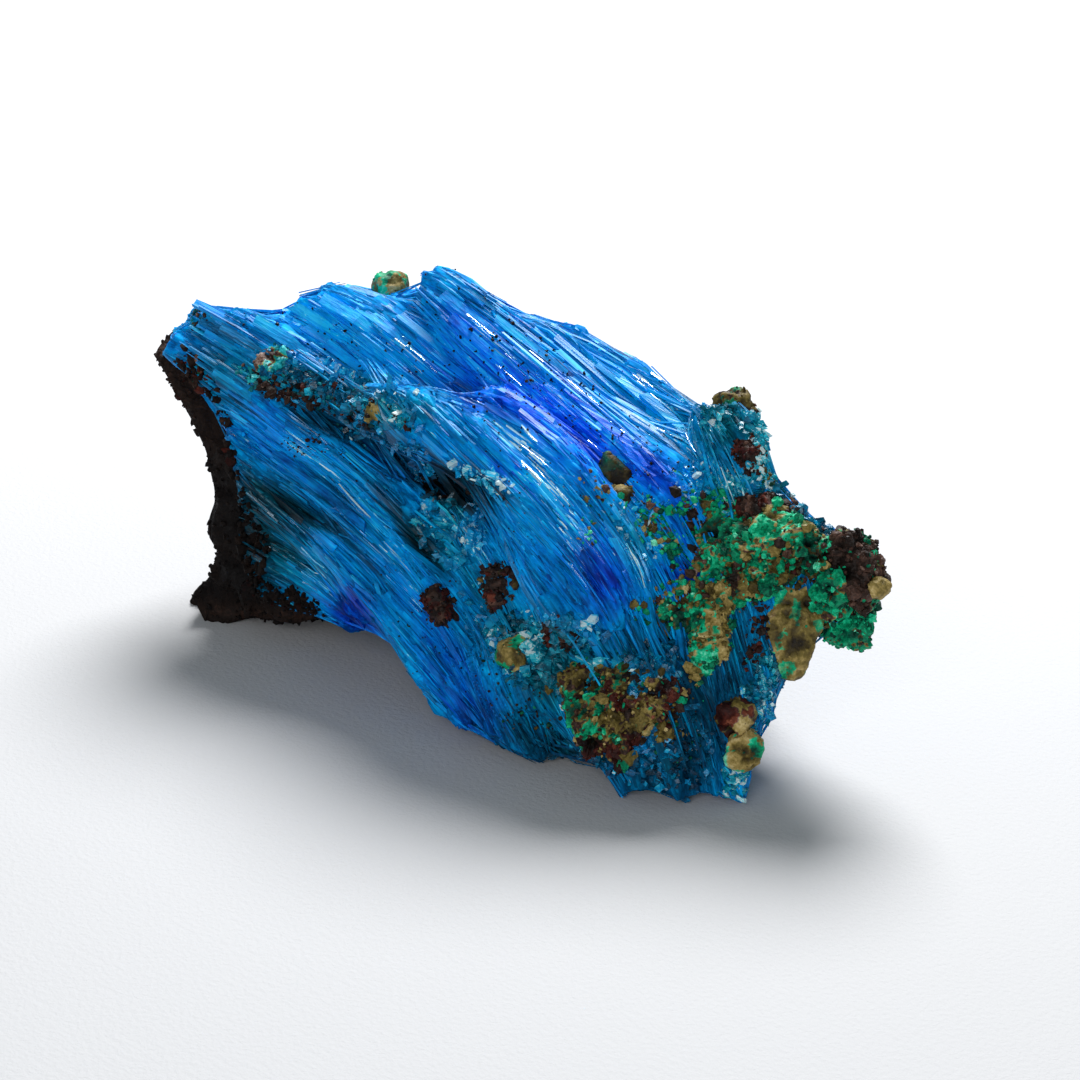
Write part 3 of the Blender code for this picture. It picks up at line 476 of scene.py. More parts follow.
# Small clear or frosted blue crystals: (across, up), radii, degrees turned, count, smallest and largest
# half size, and how much more teal and how much paler they are than the crystal there
SUGAR_ZONES = (
    ((2.6, -8.4), (6.4, 2.6), -16, 1150, 0.09, 0.42, 0.10, 0.10),
    ((5.0, -10.2), (4.2, 2.2), -12, 300, 0.07, 0.26, 0.20, 0.30),
    ((8.6, -14.4), (4.6, 3.0), -8, 420, 0.08, 0.32, 0.00, 0.02),
    ((-6.4, 0.8), (2.3, 2.6), 20, 400, 0.09, 0.38, 0.05, 0.04),
    # At the cavity's rim much paler: painted glints
    ((-5.6, 4.2), (3.4, 1.1), -8, 240, 0.07, 0.30, 0.10, 0.50),
    ((-14.2, 10.6), (6.2, 1.7), -20, 560, 0.08, 0.34, 0.05, 0.02),
    ((-10.6, 6.6), (3.8, 1.2), -28, 260, 0.08, 0.34, 0.10, 0.06),
    ((15.4, 6.6), (0.9, 3.6), 0, 240, 0.07, 0.28, 0.10, 0.06),
    ((12.4, 8.8), (2.2, 0.9), -10, 180, 0.07, 0.28, 0.20, 0.20),
    ((7.4, 1.0), (2.6, 2.6), 0, 240, 0.05, 0.22, 0.05, 0.10),
    ((12.2, 3.6), (3.0, 2.0), -20, 220, 0.05, 0.24, 0.10, 0.10),
    ((15.4, -10.8), (1.2, 3.0), -8, 280, 0.07, 0.28, 0.30, 0.08),
    ((13.6, -16.6), (1.2, 1.8), 0, 130, 0.07, 0.26, 0.40, 0.12),
    ((18.0, 1.8), (2.8, 1.1), -38, 460, 0.07, 0.30, 0.40, -0.04),
    ((17.3, 3.0), (2.8, 0.35), -44, 360, 0.07, 0.30, 0.40, -0.02),
    ((9.0, -7.6), (1.6, 1.6), 0, 150, 0.07, 0.30, 0.10, 0.10),
    ((-2.6, -6.6), (1.6, 4.0), 30, 340, 0.07, 0.32, 0.20, 0.00),
    ((3.0, -15.6), (2.6, 1.6), 0, 140, 0.07, 0.28, 0.00, 0.04),
)


# Large odd numbers that turn a cell's place and a seed into a random value
CELL_FACTORS = np.array((374761393, 668265263, 1274126177))
SEED_FACTOR = 974634777
MIXING_FACTOR = 1103515245


def normalised(vectors):
    """Vectors of the same directions, each 1 long."""
    return vectors / np.maximum(np.linalg.norm(vectors, axis=-1, keepdims=True), 1e-12)


def seen(across, up, y):
    """The point that shows at (across, up) and lies y through the thickness."""
    ray = RIGHT * across + UPWARD * up - TOWARD * SHOW_DISTANCE
    return EYE + ray * (SHOW_MIDDLE[1] + y - EYE[1]) / ray[1]


def shown_at(points):
    """(across, up) of points in space."""
    rays = points - EYE
    depth = -(rays @ TOWARD)
    return np.stack((rays @ RIGHT, rays @ UPWARD), axis=-1) * (SHOW_DISTANCE / depth)[..., None]


def between(values, shares):
    """Values read from evenly spaced ones, at shares of 0 to 1 along them."""
    places = np.asarray(shares) * (len(values) - 1)
    return np.interp(places, np.arange(len(values)), values)


def along(points, shares):
    """Points on the smooth curve through the given ones."""
    count = len(points)
    padded = np.vstack((2 * points[0] - points[1], points, 2 * points[-1] - points[-2]))
    places = np.clip(shares, 0, 1) * (count - 1)
    low = np.minimum(places.astype(int), count - 2)
    t = (places - low)[:, None]
    p0, p1, p2, p3 = (padded[low + step] for step in range(4))
    return 0.5 * (
        p1 * 2
        + (p2 - p0) * t
        + (p0 * 2 - p1 * 5 + p2 * 4 - p3) * t**2
        + (p1 * 3 - p0 - p2 * 3 + p3) * t**3
    )


def lattice(points, seed, sharp=1.0):
    """Random values between -1 and 1, one for each unit cell, with soft or sharp changes between them."""
    cell = np.floor(points).astype(np.int64)
    part = np.clip((points - cell - 0.5) * sharp + 0.5, 0, 1)
    part = part * part * (3 - 2 * part)
    total = np.zeros(len(points))
    for corner in np.ndindex(2, 2, 2):
        mixed = (cell + corner) @ CELL_FACTORS + seed * SEED_FACTOR
        mixed = (mixed ^ (mixed >> 13)) * MIXING_FACTOR
        mixed = (mixed ^ (mixed >> 16)) & 65535
        weight = np.where(corner, part, 1 - part).prod(axis=1)
        total += weight * (mixed / 32767.5 - 1)
    return total


def layered(points, sizes, seed):
    """A sum of lattice values of several cell sizes, given as (size, amount)."""
    return sum(amount * lattice(points / size, seed + 7 * step) for step, (size, amount) in enumerate(sizes))


class Flow:
    """The way the fibres run, and each place's coordinates along and across them."""

    def __init__(self):
        shares = np.linspace(0, 1, 240)
        lines = [along(np.array(line, float), shares) for line in FLOW_LINES]
        self.x = np.linspace(*FLOW_SPAN, 331)
        self.height = []
        for line in lines:
            last = (line[-1, 1] - line[-6, 1]) / (line[-1, 0] - line[-6, 0])
            level = np.interp(self.x, line[:, 0], line[:, 1])
            self.height.append(level + last * np.maximum(self.x - line[-1, 0], 0))
        self.height = np.array(self.height)
        self.slope = np.gradient(self.height, self.x, axis=1)
        step = self.x[1] - self.x[0]
        self.length = np.cumsum(np.sqrt(1 + self.slope**2) * step, axis=1)

    def read(self, table, x):
        """A table's values at each x, one row for each line."""
        return np.array([np.interp(x, self.x, row) for row in table])

    def at(self, points):
        """Along, across and through, and the way ahead, at points in space."""
        bent = points + np.stack([layered(points, FLOW_WAVER, seed) for seed in (11, 12, 13)], axis=1)
        x, z = bent[:, 0], bent[:, 2]
        height, slope, length = (self.read(table, x) for table in (self.height, self.slope, self.length))
        line = np.clip((height > z).sum(axis=0) - 1, 0, len(height) - 2)
        index = np.arange(len(x))
        top, bottom = height[line, index], height[line + 1, index]
        share = (top - z) / (top - bottom)
        offsets = np.array(FLOW_OFFSETS)
        across = offsets[line] + share * (offsets[line + 1] - offsets[line])
        held = np.clip(share, 0, 1)
        slope = slope[line, index] * (1 - held) + slope[line + 1, index] * held
        length = length[line, index] * (1 - held) + length[line + 1, index] * held
        ahead = normalised(np.stack((np.ones(len(x)), np.zeros(len(x)), slope), axis=1))
        return np.stack((length, across, bent[:, 1]), axis=1), ahead

    def slabs(self, coordinates):
        """How far the broken surface stands out: long slabs at different levels, stepped at their ends."""
        out = np.zeros(len(coordinates))
        for number, (length, width, amount) in enumerate(SLABS):
            place = coordinates / (length, width, width)
            uneven = lattice(place * (0.5, 0.6, 0.6), 20 + number)
            staggered = lattice(place * (0.4, 1.1, 1.1), 30 + number, sharp=4.0)
            place = place + np.stack((staggered * 1.2, uneven * 0.45, -uneven * 0.35), axis=1)
            out += amount * lattice(place, 40 + number, sharp=np.array((9.0, 4.5, 4.5)))
        return out


FLOW = Flow()


def linked(name, data):
    """A new object in the scene."""
    obj = bpy.data.objects.new(name, data)
    bpy.context.scene.collection.objects.link(obj)
    return obj


class Piece:
    """Points, faces and values of one piece while it is put together."""

    def __init__(self):
        self.points = []
        self.faces = []
        self.values = {"tone": [], "hue": [], "flow": []}
        self.count = 0

    def add(self, points, faces, tone=0.5, hue=0.5, flow=None):
        """Adds points, faces as groups of rows of as many corners each, and the points' values."""
        points = points.reshape(-1, 3)
        self.faces += [group + self.count for group in faces]
        self.points.append(points)
        self.values["tone"].append(np.broadcast_to(np.ravel(tone), len(points)))
        self.values["hue"].append(np.broadcast_to(np.ravel(hue), len(points)))
        self.values["flow"].append(points if flow is None else flow.reshape(-1, 3))
        self.count += len(points)

    def mesh_object(self, name, smooth=False):
        """A mesh object of the points and faces, with nothing below the surface that it rests on."""
        mesh = bpy.data.meshes.new(name)
        mesh.vertices.add(self.count)
        points = np.vstack(self.points)
        points[:, 2] = np.maximum(points[:, 2], 0.0)
        mesh.vertices.foreach_set("co", points.ravel() * MM)
        sizes = np.concatenate([np.full(len(group), group.shape[1]) for group in self.faces])
        corners = np.concatenate([group.ravel() for group in self.faces])
        mesh.loops.add(len(corners))
        mesh.loops.foreach_set("vertex_index", corners)
        mesh.polygons.add(len(sizes))
        mesh.polygons.foreach_set("loop_start", np.concatenate(([0], np.cumsum(sizes)[:-1])))
        mesh.update(calc_edges=True)
        mesh.validate()
        mesh.polygons.foreach_set("use_smooth", np.full(len(sizes), smooth))
        return linked(name, mesh)

    def build(self, name, material, node, slot, smooth=False):
        """Makes the piece, which stands for a CAD node and takes the given material. Its slot is not used."""
        obj = self.mesh_object(name, smooth)
        mesh = obj.data
        for key in ("tone", "hue"):
            layer = mesh.attributes.new(key, "FLOAT", "POINT")
            layer.data.foreach_set("value", np.concatenate(self.values[key]).astype(np.float32))
        layer = mesh.attributes.new("flow", "FLOAT_VECTOR", "POINT")
        layer.data.foreach_set("vector", np.vstack(self.values["flow"]).ravel().astype(np.float32))
        mesh.materials.append(material)
        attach(obj, "root")
        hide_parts(node)


def mesh_arrays(obj):
    """Points (mm) and triangles of an object as Blender evaluates it."""
    bpy.context.view_layer.update()
    evaluated = obj.evaluated_get(bpy.context.evaluated_depsgraph_get())
    mesh = evaluated.to_mesh()
    mesh.calc_loop_triangles()
    points = np.empty(len(mesh.vertices) * 3)
    mesh.vertices.foreach_get("co", points)
    triangles = np.empty(len(mesh.loop_triangles) * 3, dtype=np.int32)
    mesh.loop_triangles.foreach_get("vertices", triangles)
    evaluated.to_mesh_clear()
    return points.reshape(-1, 3) / MM, triangles.reshape(-1, 3)


def remeshed(obj, voxel, smoothing):
    """Arrays of an object after an even remesh and some smoothing; the object is removed."""
    shell = obj.modifiers.new("Even", "REMESH")
    shell.mode = "VOXEL"
    shell.voxel_size = voxel * MM
    soften = obj.modifiers.new("Soften", "SMOOTH")
    soften.iterations = smoothing
    arrays = mesh_arrays(obj)
    bpy.data.objects.remove(obj)
    return arrays


def as_object(name, points, triangles):
    """A mesh object of triangles, to be changed by modifiers."""
    piece = Piece()
    piece.add(points, [triangles])
    return piece.mesh_object(name)


def with_fewer(points, triangles, most):
    """Points and triangles of a mesh, brought down to about a number of triangles if it has more."""
    if len(triangles) <= most:
        return points, triangles
    obj = as_object("dense", points, triangles)
    obj.modifiers.new("Fewer", "DECIMATE").ratio = most / len(triangles)
    arrays = mesh_arrays(obj)
    bpy.data.objects.remove(obj)
    return arrays


def triangle_sides(points, triangles):
    """The three corners of each triangle, and its normal, as long as twice its area."""
    a, b, c = (points[triangles[:, corner]] for corner in range(3))
    return a, b, c, np.cross(b - a, c - a)


def point_normals(points, triangles):
    """The way out at each point of a mesh."""
    across = triangle_sides(points, triangles)[3]
    total = np.zeros_like(points)
    for corner in range(3):
        for axis in range(3):
            total[:, axis] += np.bincount(triangles[:, corner], across[:, axis], len(points))
    return normalised(total)


def two_arrays(pairs):
    """Places and ways out as two arrays, from a list of pairs of them."""
    return np.array([place for place, _ in pairs]), np.array([way for _, way in pairs])


class Surface:
    """A closed mesh that other things lie on."""

    def __init__(self, points, triangles):
        self.points = points
        self.triangles = triangles
        self.tree = BVHTree.FromPolygons(points.tolist(), triangles.tolist())

    def nearest(self, points):
        """The nearest place of the surface to each point, and the way out there."""
        return two_arrays([self.tree.find_nearest(point)[:2] for point in points.tolist()])

    def facing(self, across, up):
        """The first place of the surface that shows at (across, up), or None."""
        ray = normalised(RIGHT * across + UPWARD * up - TOWARD * SHOW_DISTANCE)
        place, way = self.tree.ray_cast(EYE.tolist(), ray.tolist())[:2]
        return None if place is None else (np.array(place), np.array(way))

    def scattered(self, rng, count):
        """Random places spread evenly over the surface, and the way out at each."""
        a, b, c, across = triangle_sides(self.points, self.triangles)
        area = np.linalg.norm(across, axis=1)
        chosen = rng.choice(len(area), size=count, p=area / area.sum())
        u, v = rng.random((2, count, 1))
        over = (u + v) > 1
        u, v = np.where(over, 1 - u, u), np.where(over, 1 - v, v)
        place = a[chosen] + (b[chosen] - a[chosen]) * u + (c[chosen] - a[chosen]) * v
        return place, normalised(across[chosen])

    def area(self):
        """The whole surface's area in square millimetres."""
        return np.linalg.norm(triangle_sides(self.points, self.triangles)[3], axis=1).sum() / 2


def squared(values):
    """Turns a circle's sine or cosine into that of a squarish oval."""
    return np.sign(values) * np.abs(values) ** SECTION_POWER


def tube_faces(index):
    """Four-sided faces between the rings of a tube, from the numbers of its points, ring by ring."""
    following = np.roll(index, -1, axis=-1)
    corners = (index[..., :-1, :], following[..., :-1, :], following[..., 1:, :], index[..., 1:, :])
    return np.stack(corners, axis=-1).reshape(-1, 4)


def add_sheaf(piece, route, widths, depths, stations=22, sides=22):
    """A squarish section swept along a route, closed at both ends."""
    route = np.array([seen(*place) for place in route])
    shares = np.linspace(0, 1, stations)
    centre = along(route, shares)
    ahead = normalised(along(route, shares + 0.02) - along(route, shares - 0.02))
    side = normalised(np.cross(ahead, TOWARD))
    front = np.cross(side, ahead)
    angles = np.arange(sides) * 2 * math.pi / sides
    end = 1 - 0.10 * np.maximum(0, 1 - 12 * np.minimum(shares, 1 - shares))
    wide = (between(widths, shares) * end)[:, None, None]
    deep = (between(depths, shares) * end)[:, None, None]
    points = (
        centre[:, None]
        + side[:, None] * squared(np.cos(angles))[None, :, None] * wide
        + front[:, None] * squared(np.sin(angles))[None, :, None] * deep
    )
    index = np.arange(stations * sides).reshape(stations, sides)
    piece.add(points, [tube_faces(index), index[:1, ::-1], index[-1:]])


def in_oval(places, centre, radii, degrees):
    """How far places on the show side lie from an oval's middle, 1 on its edge."""
    turn = math.radians(degrees)
    cos, sin = math.cos(turn), math.sin(turn)
    off = places - np.array(centre)
    long = (off[:, 0] * cos + off[:, 1] * sin) / radii[0]
    short = (off[:, 1] * cos - off[:, 0] * sin) / radii[1]
    return np.sqrt(long**2 + short**2)


def patched(points):
    """Changes of hue and tone from the patches on the show side, painted shade and painted light among them.
    """
    places = shown_at(points)
    places = places + np.stack([layered(points, PATCH_NOTCHES, seed) for seed in (61, 62)], axis=1)
    hue = np.zeros(len(points))
    tone = np.zeros(len(points))
    for centre, radii, degrees, more_hue, more_tone in COLOUR_AND_SHADING_PATCHES:
        weight = np.exp(-(in_oval(places, centre, radii, degrees) ** 2.8))
        hue += weight * more_hue
        tone += weight * more_tone
    return hue, tone


def crystal_colour(points):
    """Hue and tone of the crystal at points: patches of colour and of painted shade and light, slow changes
    and stripes along the fibres.
    """
    coordinates = FLOW.at(points)[0]
    hue, tone = patched(points)
    hue = CRYSTAL_HUE + hue + layered(coordinates / (6.0, 1.5, 1.5), ((1.0, 0.10),), 71)
    tone = CRYSTAL_TONE + tone + layered(coordinates / (9.0, 1.0, 1.0), ((1.6, 0.05), (0.6, 0.05)), 72)
    return hue, tone, coordinates


def pressed(points, normals):
    """Points with the hollows of the show side pressed in."""
    places = shown_at(points)
    ragged = layered(points, HOLLOW_NOTCHES, 51)
    facing = normals @ TOWARD > 0.05
    depth = np.zeros(len(points))
    for centre, radii, degrees, deep in HOLLOWS:
        far = in_oval(places, centre, radii, degrees) + ragged
        depth = np.maximum(depth, deep * np.clip((1.05 - far) * 3.0, 0, 1) * (1 + ragged * 0.8))
    return points - TOWARD * (depth * facing)[:, None]


def near_outline(places, outline):
    """Whether places lie inside an outline, how far they are from it, and its nearest points."""
    corners = np.array(outline)
    nexts = np.roll(corners, -1, axis=0)
    inside = np.zeros(len(places), bool)
    best = np.full(len(places), np.inf)
    target = places.copy()
    for start, end in zip(corners, nexts):
        edge = end - start
        share = np.clip(((places - start) @ edge) / (edge @ edge), 0, 1)
        foot = start + share[:, None] * edge
        far = ((places - foot) ** 2).sum(axis=1)
        nearer = far < best
        best = np.where(nearer, far, best)
        target[nearer] = foot[nearer]
        crosses = (start[1] > places[:, 1]) != (end[1] > places[:, 1])
        level = start[0] + (places[:, 1] - start[1]) / (edge[1] if edge[1] else 1e-9) * edge[0]
        inside ^= crosses & (places[:, 0] < level)
    return inside, np.sqrt(best), target


def held_inside(points, outline, margin, drawn_out=None):
    """Points with those that show outside an outline, or nearer than a margin to it, brought inside.

    The share drawn_out of each point is how far one that shows just inside is drawn out to the margin.
    """
    places = shown_at(points)
    inside, far, target = near_outline(places, outline)
    inward = (target - places) / np.maximum(far, 1e-6)[:, None]
    move = np.where(inside, -np.maximum(margin - far, 0), far + margin)
    if drawn_out is not None:
        near = np.clip((OUTLINE_REACH - far) / 0.6, 0, 1) * drawn_out
        move = np.where(inside & (far > margin), (far - margin) * near, move)
    shift = inward * move[:, None]
    depth = -((points - EYE) @ TOWARD) / SHOW_DISTANCE
    return points + (shift[:, :1] * RIGHT + shift[:, 1:] * UPWARD) * depth[:, None]


def bareness(points, normals):
    """1 in the crumbly places of the show side, 0 elsewhere."""
    places = shown_at(points)
    ragged = layered(points, BARE_NOTCHES, 55)
    weight = np.zeros(len(points))
    for centre, radii, degrees in BARE:
        far = in_oval(places, centre, radii, degrees) + ragged
        weight = np.maximum(weight, np.clip((1.1 - far) * 4.0, 0, 1))
    return weight * (normals @ TOWARD > 0.05)


def edgewise(normals):
    """1 where a surface is seen edge on, 0 where it faces the viewer or away."""
    return np.clip((0.5 - np.abs(normals @ TOWARD)) / 0.25, 0, 1)


def relief_share(normals):
    """1 where a surface faces the viewer or away, and less at the outline, where relief would show."""
    return np.clip(np.abs(normals @ TOWARD) * 2.5, 0.35, 1.0)


def make_body(material):
    """The body of the crystal: joined sheaves with hollows, broken into long stepped slabs.

    Returns the surface before it is broken, which fibres lie on, and the broken one.
    """
    coarse = Piece()
    for route, widths, depths in SHEAVES.values():
        add_sheaf(coarse, route, widths, depths)
    points, triangles = remeshed(coarse.mesh_object("joined"), JOIN_VOXEL, JOIN_SMOOTHING)
    normals = point_normals(points, triangles)
    points = held_inside(points + normals * SWELLING, OUTLINE, CRYSTAL_MARGIN, edgewise(normals))
    points = pressed(points, point_normals(points, triangles))
    points, triangles = remeshed(as_object("pressed", points, triangles), BODY_VOXEL, BODY_SMOOTHING)
    smooth = Surface(points, triangles)
    normals = point_normals(points, triangles)
    bare = bareness(points, normals)
    out = FLOW.slabs(FLOW.at(points)[0]) * relief_share(normals) * (1 - 0.6 * bare) - SLAB_SINK
    out += bare * layered(points, CRUMBS, 57)
    points, triangles = with_fewer(points + normals * out[:, None], triangles, BODY_TRIANGLES)
    hue, tone, coordinates = crystal_colour(points)
    piece = Piece()
    piece.add(points, [triangles], tone=tone, hue=hue, flow=coordinates)
    piece.build("crystal_body", material, "chalcanthite", "blue_crystal", smooth=True)
    return smooth, Surface(points, triangles)


def fibre_lines(surface, start, length):
    """Where fibres run that are laid on a surface, the way out there, and which of them are kept.

    Each runs both ways from its start. One that would bridge a notch of the outline isn't kept.
    """
    ahead = FLOW.at(start)[1]
    centres = []
    ways = []
    for step in np.linspace(-1, 1, FIBRE_RINGS):
        reach = (length / 2 * step)[:, None]
        bend = FLOW.at(start + ahead * reach)[1]
        centre, way = surface.nearest(start + (ahead + bend) / 2 * reach)
        centres.append(centre)
        ways.append(way)
    centres = np.stack(centres, axis=1)
    ways = normalised(np.stack(ways, axis=1).mean(axis=1))
    spans = np.concatenate((centres, (centres[:, :-1] * 2 + centres[:, 1:]) / 3), axis=1)
    inside, far, _ = near_outline(shown_at(spans).reshape(-1, 2), OUTLINE)
    kept = (inside | (far < FIBRE_REACH)).reshape(len(start), -1).all(axis=1)
    return centres[kept], ways[kept], kept


def laid_fibres(rng, surface, start, length, width, thickness, lift, brighter, rolled, blunt, section):
    """A piece of fibres that lie on the body and run with it, each cut off slantwise at both ends.

    The blunt shares are those of first and last ends that stand out; the others dip into the body.
    """
    centres, ways, kept = fibre_lines(surface, start, length)
    rows = (start, width, thickness, lift, brighter)
    start, width, thickness, lift, brighter = (row[kept] for row in rows)
    count = len(start)
    steps = np.linspace(-1, 1, FIBRE_RINGS)
    straight = centres[:, :1] + (centres[:, -1:] - centres[:, :1]) * ((steps + 1) / 2)[None, :, None]
    centres = centres * (1 - STRAIGHTENED) + straight * STRAIGHTENED
    run = normalised(np.gradient(centres, axis=1))
    side = normalised(np.cross(run, ways[:, None, :]))
    out = np.cross(side, run)
    dipping = rng.random((count, 2)) > np.array(blunt)
    first_dips = dipping[:, :1] * np.where(steps < 0, steps**4, 0)
    last_dips = dipping[:, 1:] * np.where(steps > 0, steps**4, 0)
    dips = (first_dips + last_dips)[..., None]
    raised = FLOW.slabs(FLOW.at(start)[0]) * relief_share(ways) + lift - SLAB_SINK
    centres = centres + out * raised[:, None, None]
    roll = rng.normal(0, rolled, count)[:, None, None]
    side, out = side * np.cos(roll) + out * np.sin(roll), out * np.cos(roll) - side * np.sin(roll)
    wide = width[:, None, None] / 2 * (1 - END_NARROWING * dips)
    thick = thickness[:, None, None] / 2
    centres = centres - out * (dips * (thick + END_DIP))
    slant = rng.normal(0, END_SLANT, (count, 1, 3))
    ends = np.where(np.abs(steps) == 1, steps, 0)[None, :, None]
    lines = []
    for a, b in section:
        cut = (slant[..., :1] * a + slant[..., 1:2] * b) * wide * ends
        lines.append(centres + side * wide * a + out * thick * b + run * cut)
    points = np.stack(lines, axis=2)
    index = np.arange(points.size // 3).reshape(points.shape[:-1])
    hue, tone, coordinates = crystal_colour(points.reshape(-1, 3))
    tone = tone.reshape(count, -1) + (rng.normal(0, 0.07, count) + brighter)[:, None]
    hue = hue.reshape(count, -1) + rng.normal(0, 0.06, count)[:, None]
    apart = [np.zeros(count), rng.uniform(0, 40, count), rng.uniform(0, 40, count)]
    flow = coordinates.reshape(count, -1, 3) + np.stack(apart, axis=1)[:, None]
    piece = Piece()
    faces = [tube_faces(index), index[:, 0, ::-1], index[:, -1]]
    piece.add(points, faces, tone=tone, hue=hue, flow=flow)
    return piece


def shown_on(surface, places):
    """The places of a surface that show at (across, up), and the way out at each."""
    found = [surface.facing(*place) for place in places]
    return two_arrays([pair for pair in found if pair is not None])


def spread_over(rng, centre, radii, degrees, count):
    """Random places over an oval on the show side, thinning out to its edge."""
    angle = rng.random(count) * 2 * math.pi
    far = rng.random(count) ** 0.6 * rng.normal(1, 0.12, count)
    long, short = far * np.cos(angle) * radii[0], far * np.sin(angle) * radii[1]
    turn = math.radians(degrees)
    cos, sin = math.cos(turn), math.sin(turn)
    return np.array(centre) + np.stack((long * cos - short * sin, short * cos + long * sin), axis=1)


def ball(subdivisions):
    """Points and triangles of a round ball of radius 1."""
    bm = bmesh.new()
    bmesh.ops.create_icosphere(bm, subdivisions=subdivisions, radius=1)
    points = np.array([vert.co for vert in bm.verts])
    faces = np.array([[vert.index for vert in face.verts] for face in bm.faces])
    bm.free()
    return points, [faces]


def prism(sides, slant=0.35):
    """Points and faces of an upright prism, 2 high and 2 wide, with slanted ends."""
    angles = np.arange(sides) * 2 * math.pi / sides
    ring = np.stack((np.cos(angles), np.sin(angles), np.zeros(sides)), axis=1)
    low = ring + np.outer(ring[:, 0] * slant - 1, (0, 0, 1))
    high = ring + np.outer(ring[:, 1] * slant + 1, (0, 0, 1))
    index = np.arange(sides)
    following = np.roll(index, -1)
    walls = np.stack((index, following, following + sides, index + sides), axis=1)
    ends = np.stack((index[::-1], index + sides))
    return np.vstack((low, high)), [walls, ends]


def turned(rng, count):
    """Random rotations as rows of three axes."""
    first = normalised(rng.normal(size=(count, 3)))
    second = normalised(np.cross(first, rng.normal(size=(count, 3))))
    return np.stack((first, second, np.cross(first, second)), axis=1)


def scatter(piece, rng, template, places, sizes, axes, tone, hue, rough=0.12):
    """Copies of a template, each with its own size, turn and small dents."""
    points, faces = template
    count = len(places)
    if not count:
        return
    dents = 1 + rng.uniform(-rough, rough, size=(count, len(points), 1))
    shaped = points[None] * dents * sizes[:, None, :]
    placed = np.einsum("nvk,nkc->nvc", shaped, axes) + places[:, None, :]
    starts = (np.arange(count) * len(points))[:, None, None]
    groups = [(group[None] + starts).reshape(-1, group.shape[1]) for group in faces]
    repeat = len(points)
    piece.add(placed, groups, tone=np.repeat(tone, repeat), hue=np.repeat(hue, repeat))


class Nodes:
    """Short ways to build a material's nodes."""

    def __init__(self, name):
        self.material = bpy.data.materials.new(name)
        self.material.use_nodes = True
        self.tree = self.material.node_tree
        self.shader = self.tree.nodes["Principled BSDF"]

    def add(self, kind, inputs=(), **settings):
        node = self.tree.nodes.new(kind)
        for key, value in settings.items():
            setattr(node, key, value)
        for key, value in dict(inputs).items():
            if isinstance(value, bpy.types.NodeSocket):
                self.tree.links.new(value, node.inputs[key])
            else:
                node.inputs[key].default_value = value
        return node

    def attribute(self, name, output="Fac"):
        return self.add("ShaderNodeAttribute", attribute_name=name).outputs[output]

    def math(self, operation, *values, clamp=False):
        node = self.add("ShaderNodeMath", enumerate(values), operation=operation, use_clamp=clamp)
        return node.outputs[0]

    def noise(self, vector, scale, detail=3.0, roughness=0.6, output="Fac"):
        inputs = {"Vector": vector, "Scale": scale, "Detail": detail, "Roughness": roughness}
        return self.add("ShaderNodeTexNoise", inputs).outputs[output]

    def cells(self, vector, scale, output="Color"):
        return self.add("ShaderNodeTexVoronoi", {"Vector": vector, "Scale": scale}).outputs[output]

    def stretched(self, vector, scales):
        return self.add("ShaderNodeVectorMath", {0: vector, 1: scales}, operation="MULTIPLY").outputs[0]

    def remap(self, value, low, high, to_low=0.0, to_high=1.0):
        inputs = {"Value": value, "From Min": low, "From Max": high, "To Min": to_low, "To Max": to_high}
        return self.add("ShaderNodeMapRange", inputs).outputs[0]

    def varied(self, value, changes):
        """A value with changes added, each given as remap takes them."""
        for change in changes:
            value = self.math("ADD", value, self.remap(*change))
        return value

    def ramp(self, value, stops, colours):
        node = self.add("ShaderNodeValToRGB", {"Fac": value})
        while len(node.color_ramp.elements) < len(stops):
            node.color_ramp.elements.new(0.5)
        for element, place, colour in zip(node.color_ramp.elements, stops, colours):
            element.position = place
            element.color = (*colour, 1)
        return node.outputs[0]

    def by_hue(self, hue, tone, tones, first, others):
        """A tone's colour: the first colours', then the others', each taking over between two hues."""
        colour = self.ramp(tone, tones, first)
        for low, high, colours in others:
            colour = self.mix(self.remap(hue, low, high), colour, self.ramp(tone, tones, colours))
        return colour

    def mix(self, factor, first, second, blend="MIX"):
        node = self.add("ShaderNodeMix", data_type="RGBA", blend_type=blend)
        for key, value in ((0, factor), (6, first), (7, second)):
            if isinstance(value, bpy.types.NodeSocket):
                self.tree.links.new(value, node.inputs[key])
            elif key == 0:
                node.inputs[key].default_value = value
            else:
                node.inputs[key].default_value = (*value, 1)
        return node.outputs[2]

    def bump(self, height, distance, strength=1.0):
        inputs = {"Height": height, "Distance": distance, "Strength": strength}
        return self.add("ShaderNodeBump", inputs).outputs[0]

    def finish(self, **sockets):
        """Sets the shader's sockets: a socket links, a number or colour is set on the socket itself."""
        for key, value in sockets.items():
            socket = self.shader.inputs[key.replace("_", " ")]
            if isinstance(value, bpy.types.NodeSocket):
                self.tree.links.new(value, socket)
            else:
                socket.default_value = value
        return self.material


# Colours of the crystal at certain tones
CRYSTAL_TONES = (0.0, 0.3, 0.58, 0.78, 0.92, 1.0)
ULTRAMARINE = (
    (0.0, 0.003, 0.04), (0.0, 0.020, 0.28), (0.0, 0.095, 0.80),
    (0.0, 0.21, 1.0), (0.01, 0.46, 1.0), (0.55, 0.88, 1.0),
)
AZURE = (
    (0.0, 0.010, 0.030), (0.0, 0.075, 0.20), (0.0, 0.26, 0.70),
    (0.0, 0.42, 0.95), (0.02, 0.64, 1.0), (0.65, 0.94, 1.0),
)
TEAL = (
    (0.0, 0.008, 0.012), (0.0, 0.06, 0.095), (0.0, 0.22, 0.33),
    (0.005, 0.42, 0.56), (0.10, 0.66, 0.76), (0.80, 0.97, 0.97),
)


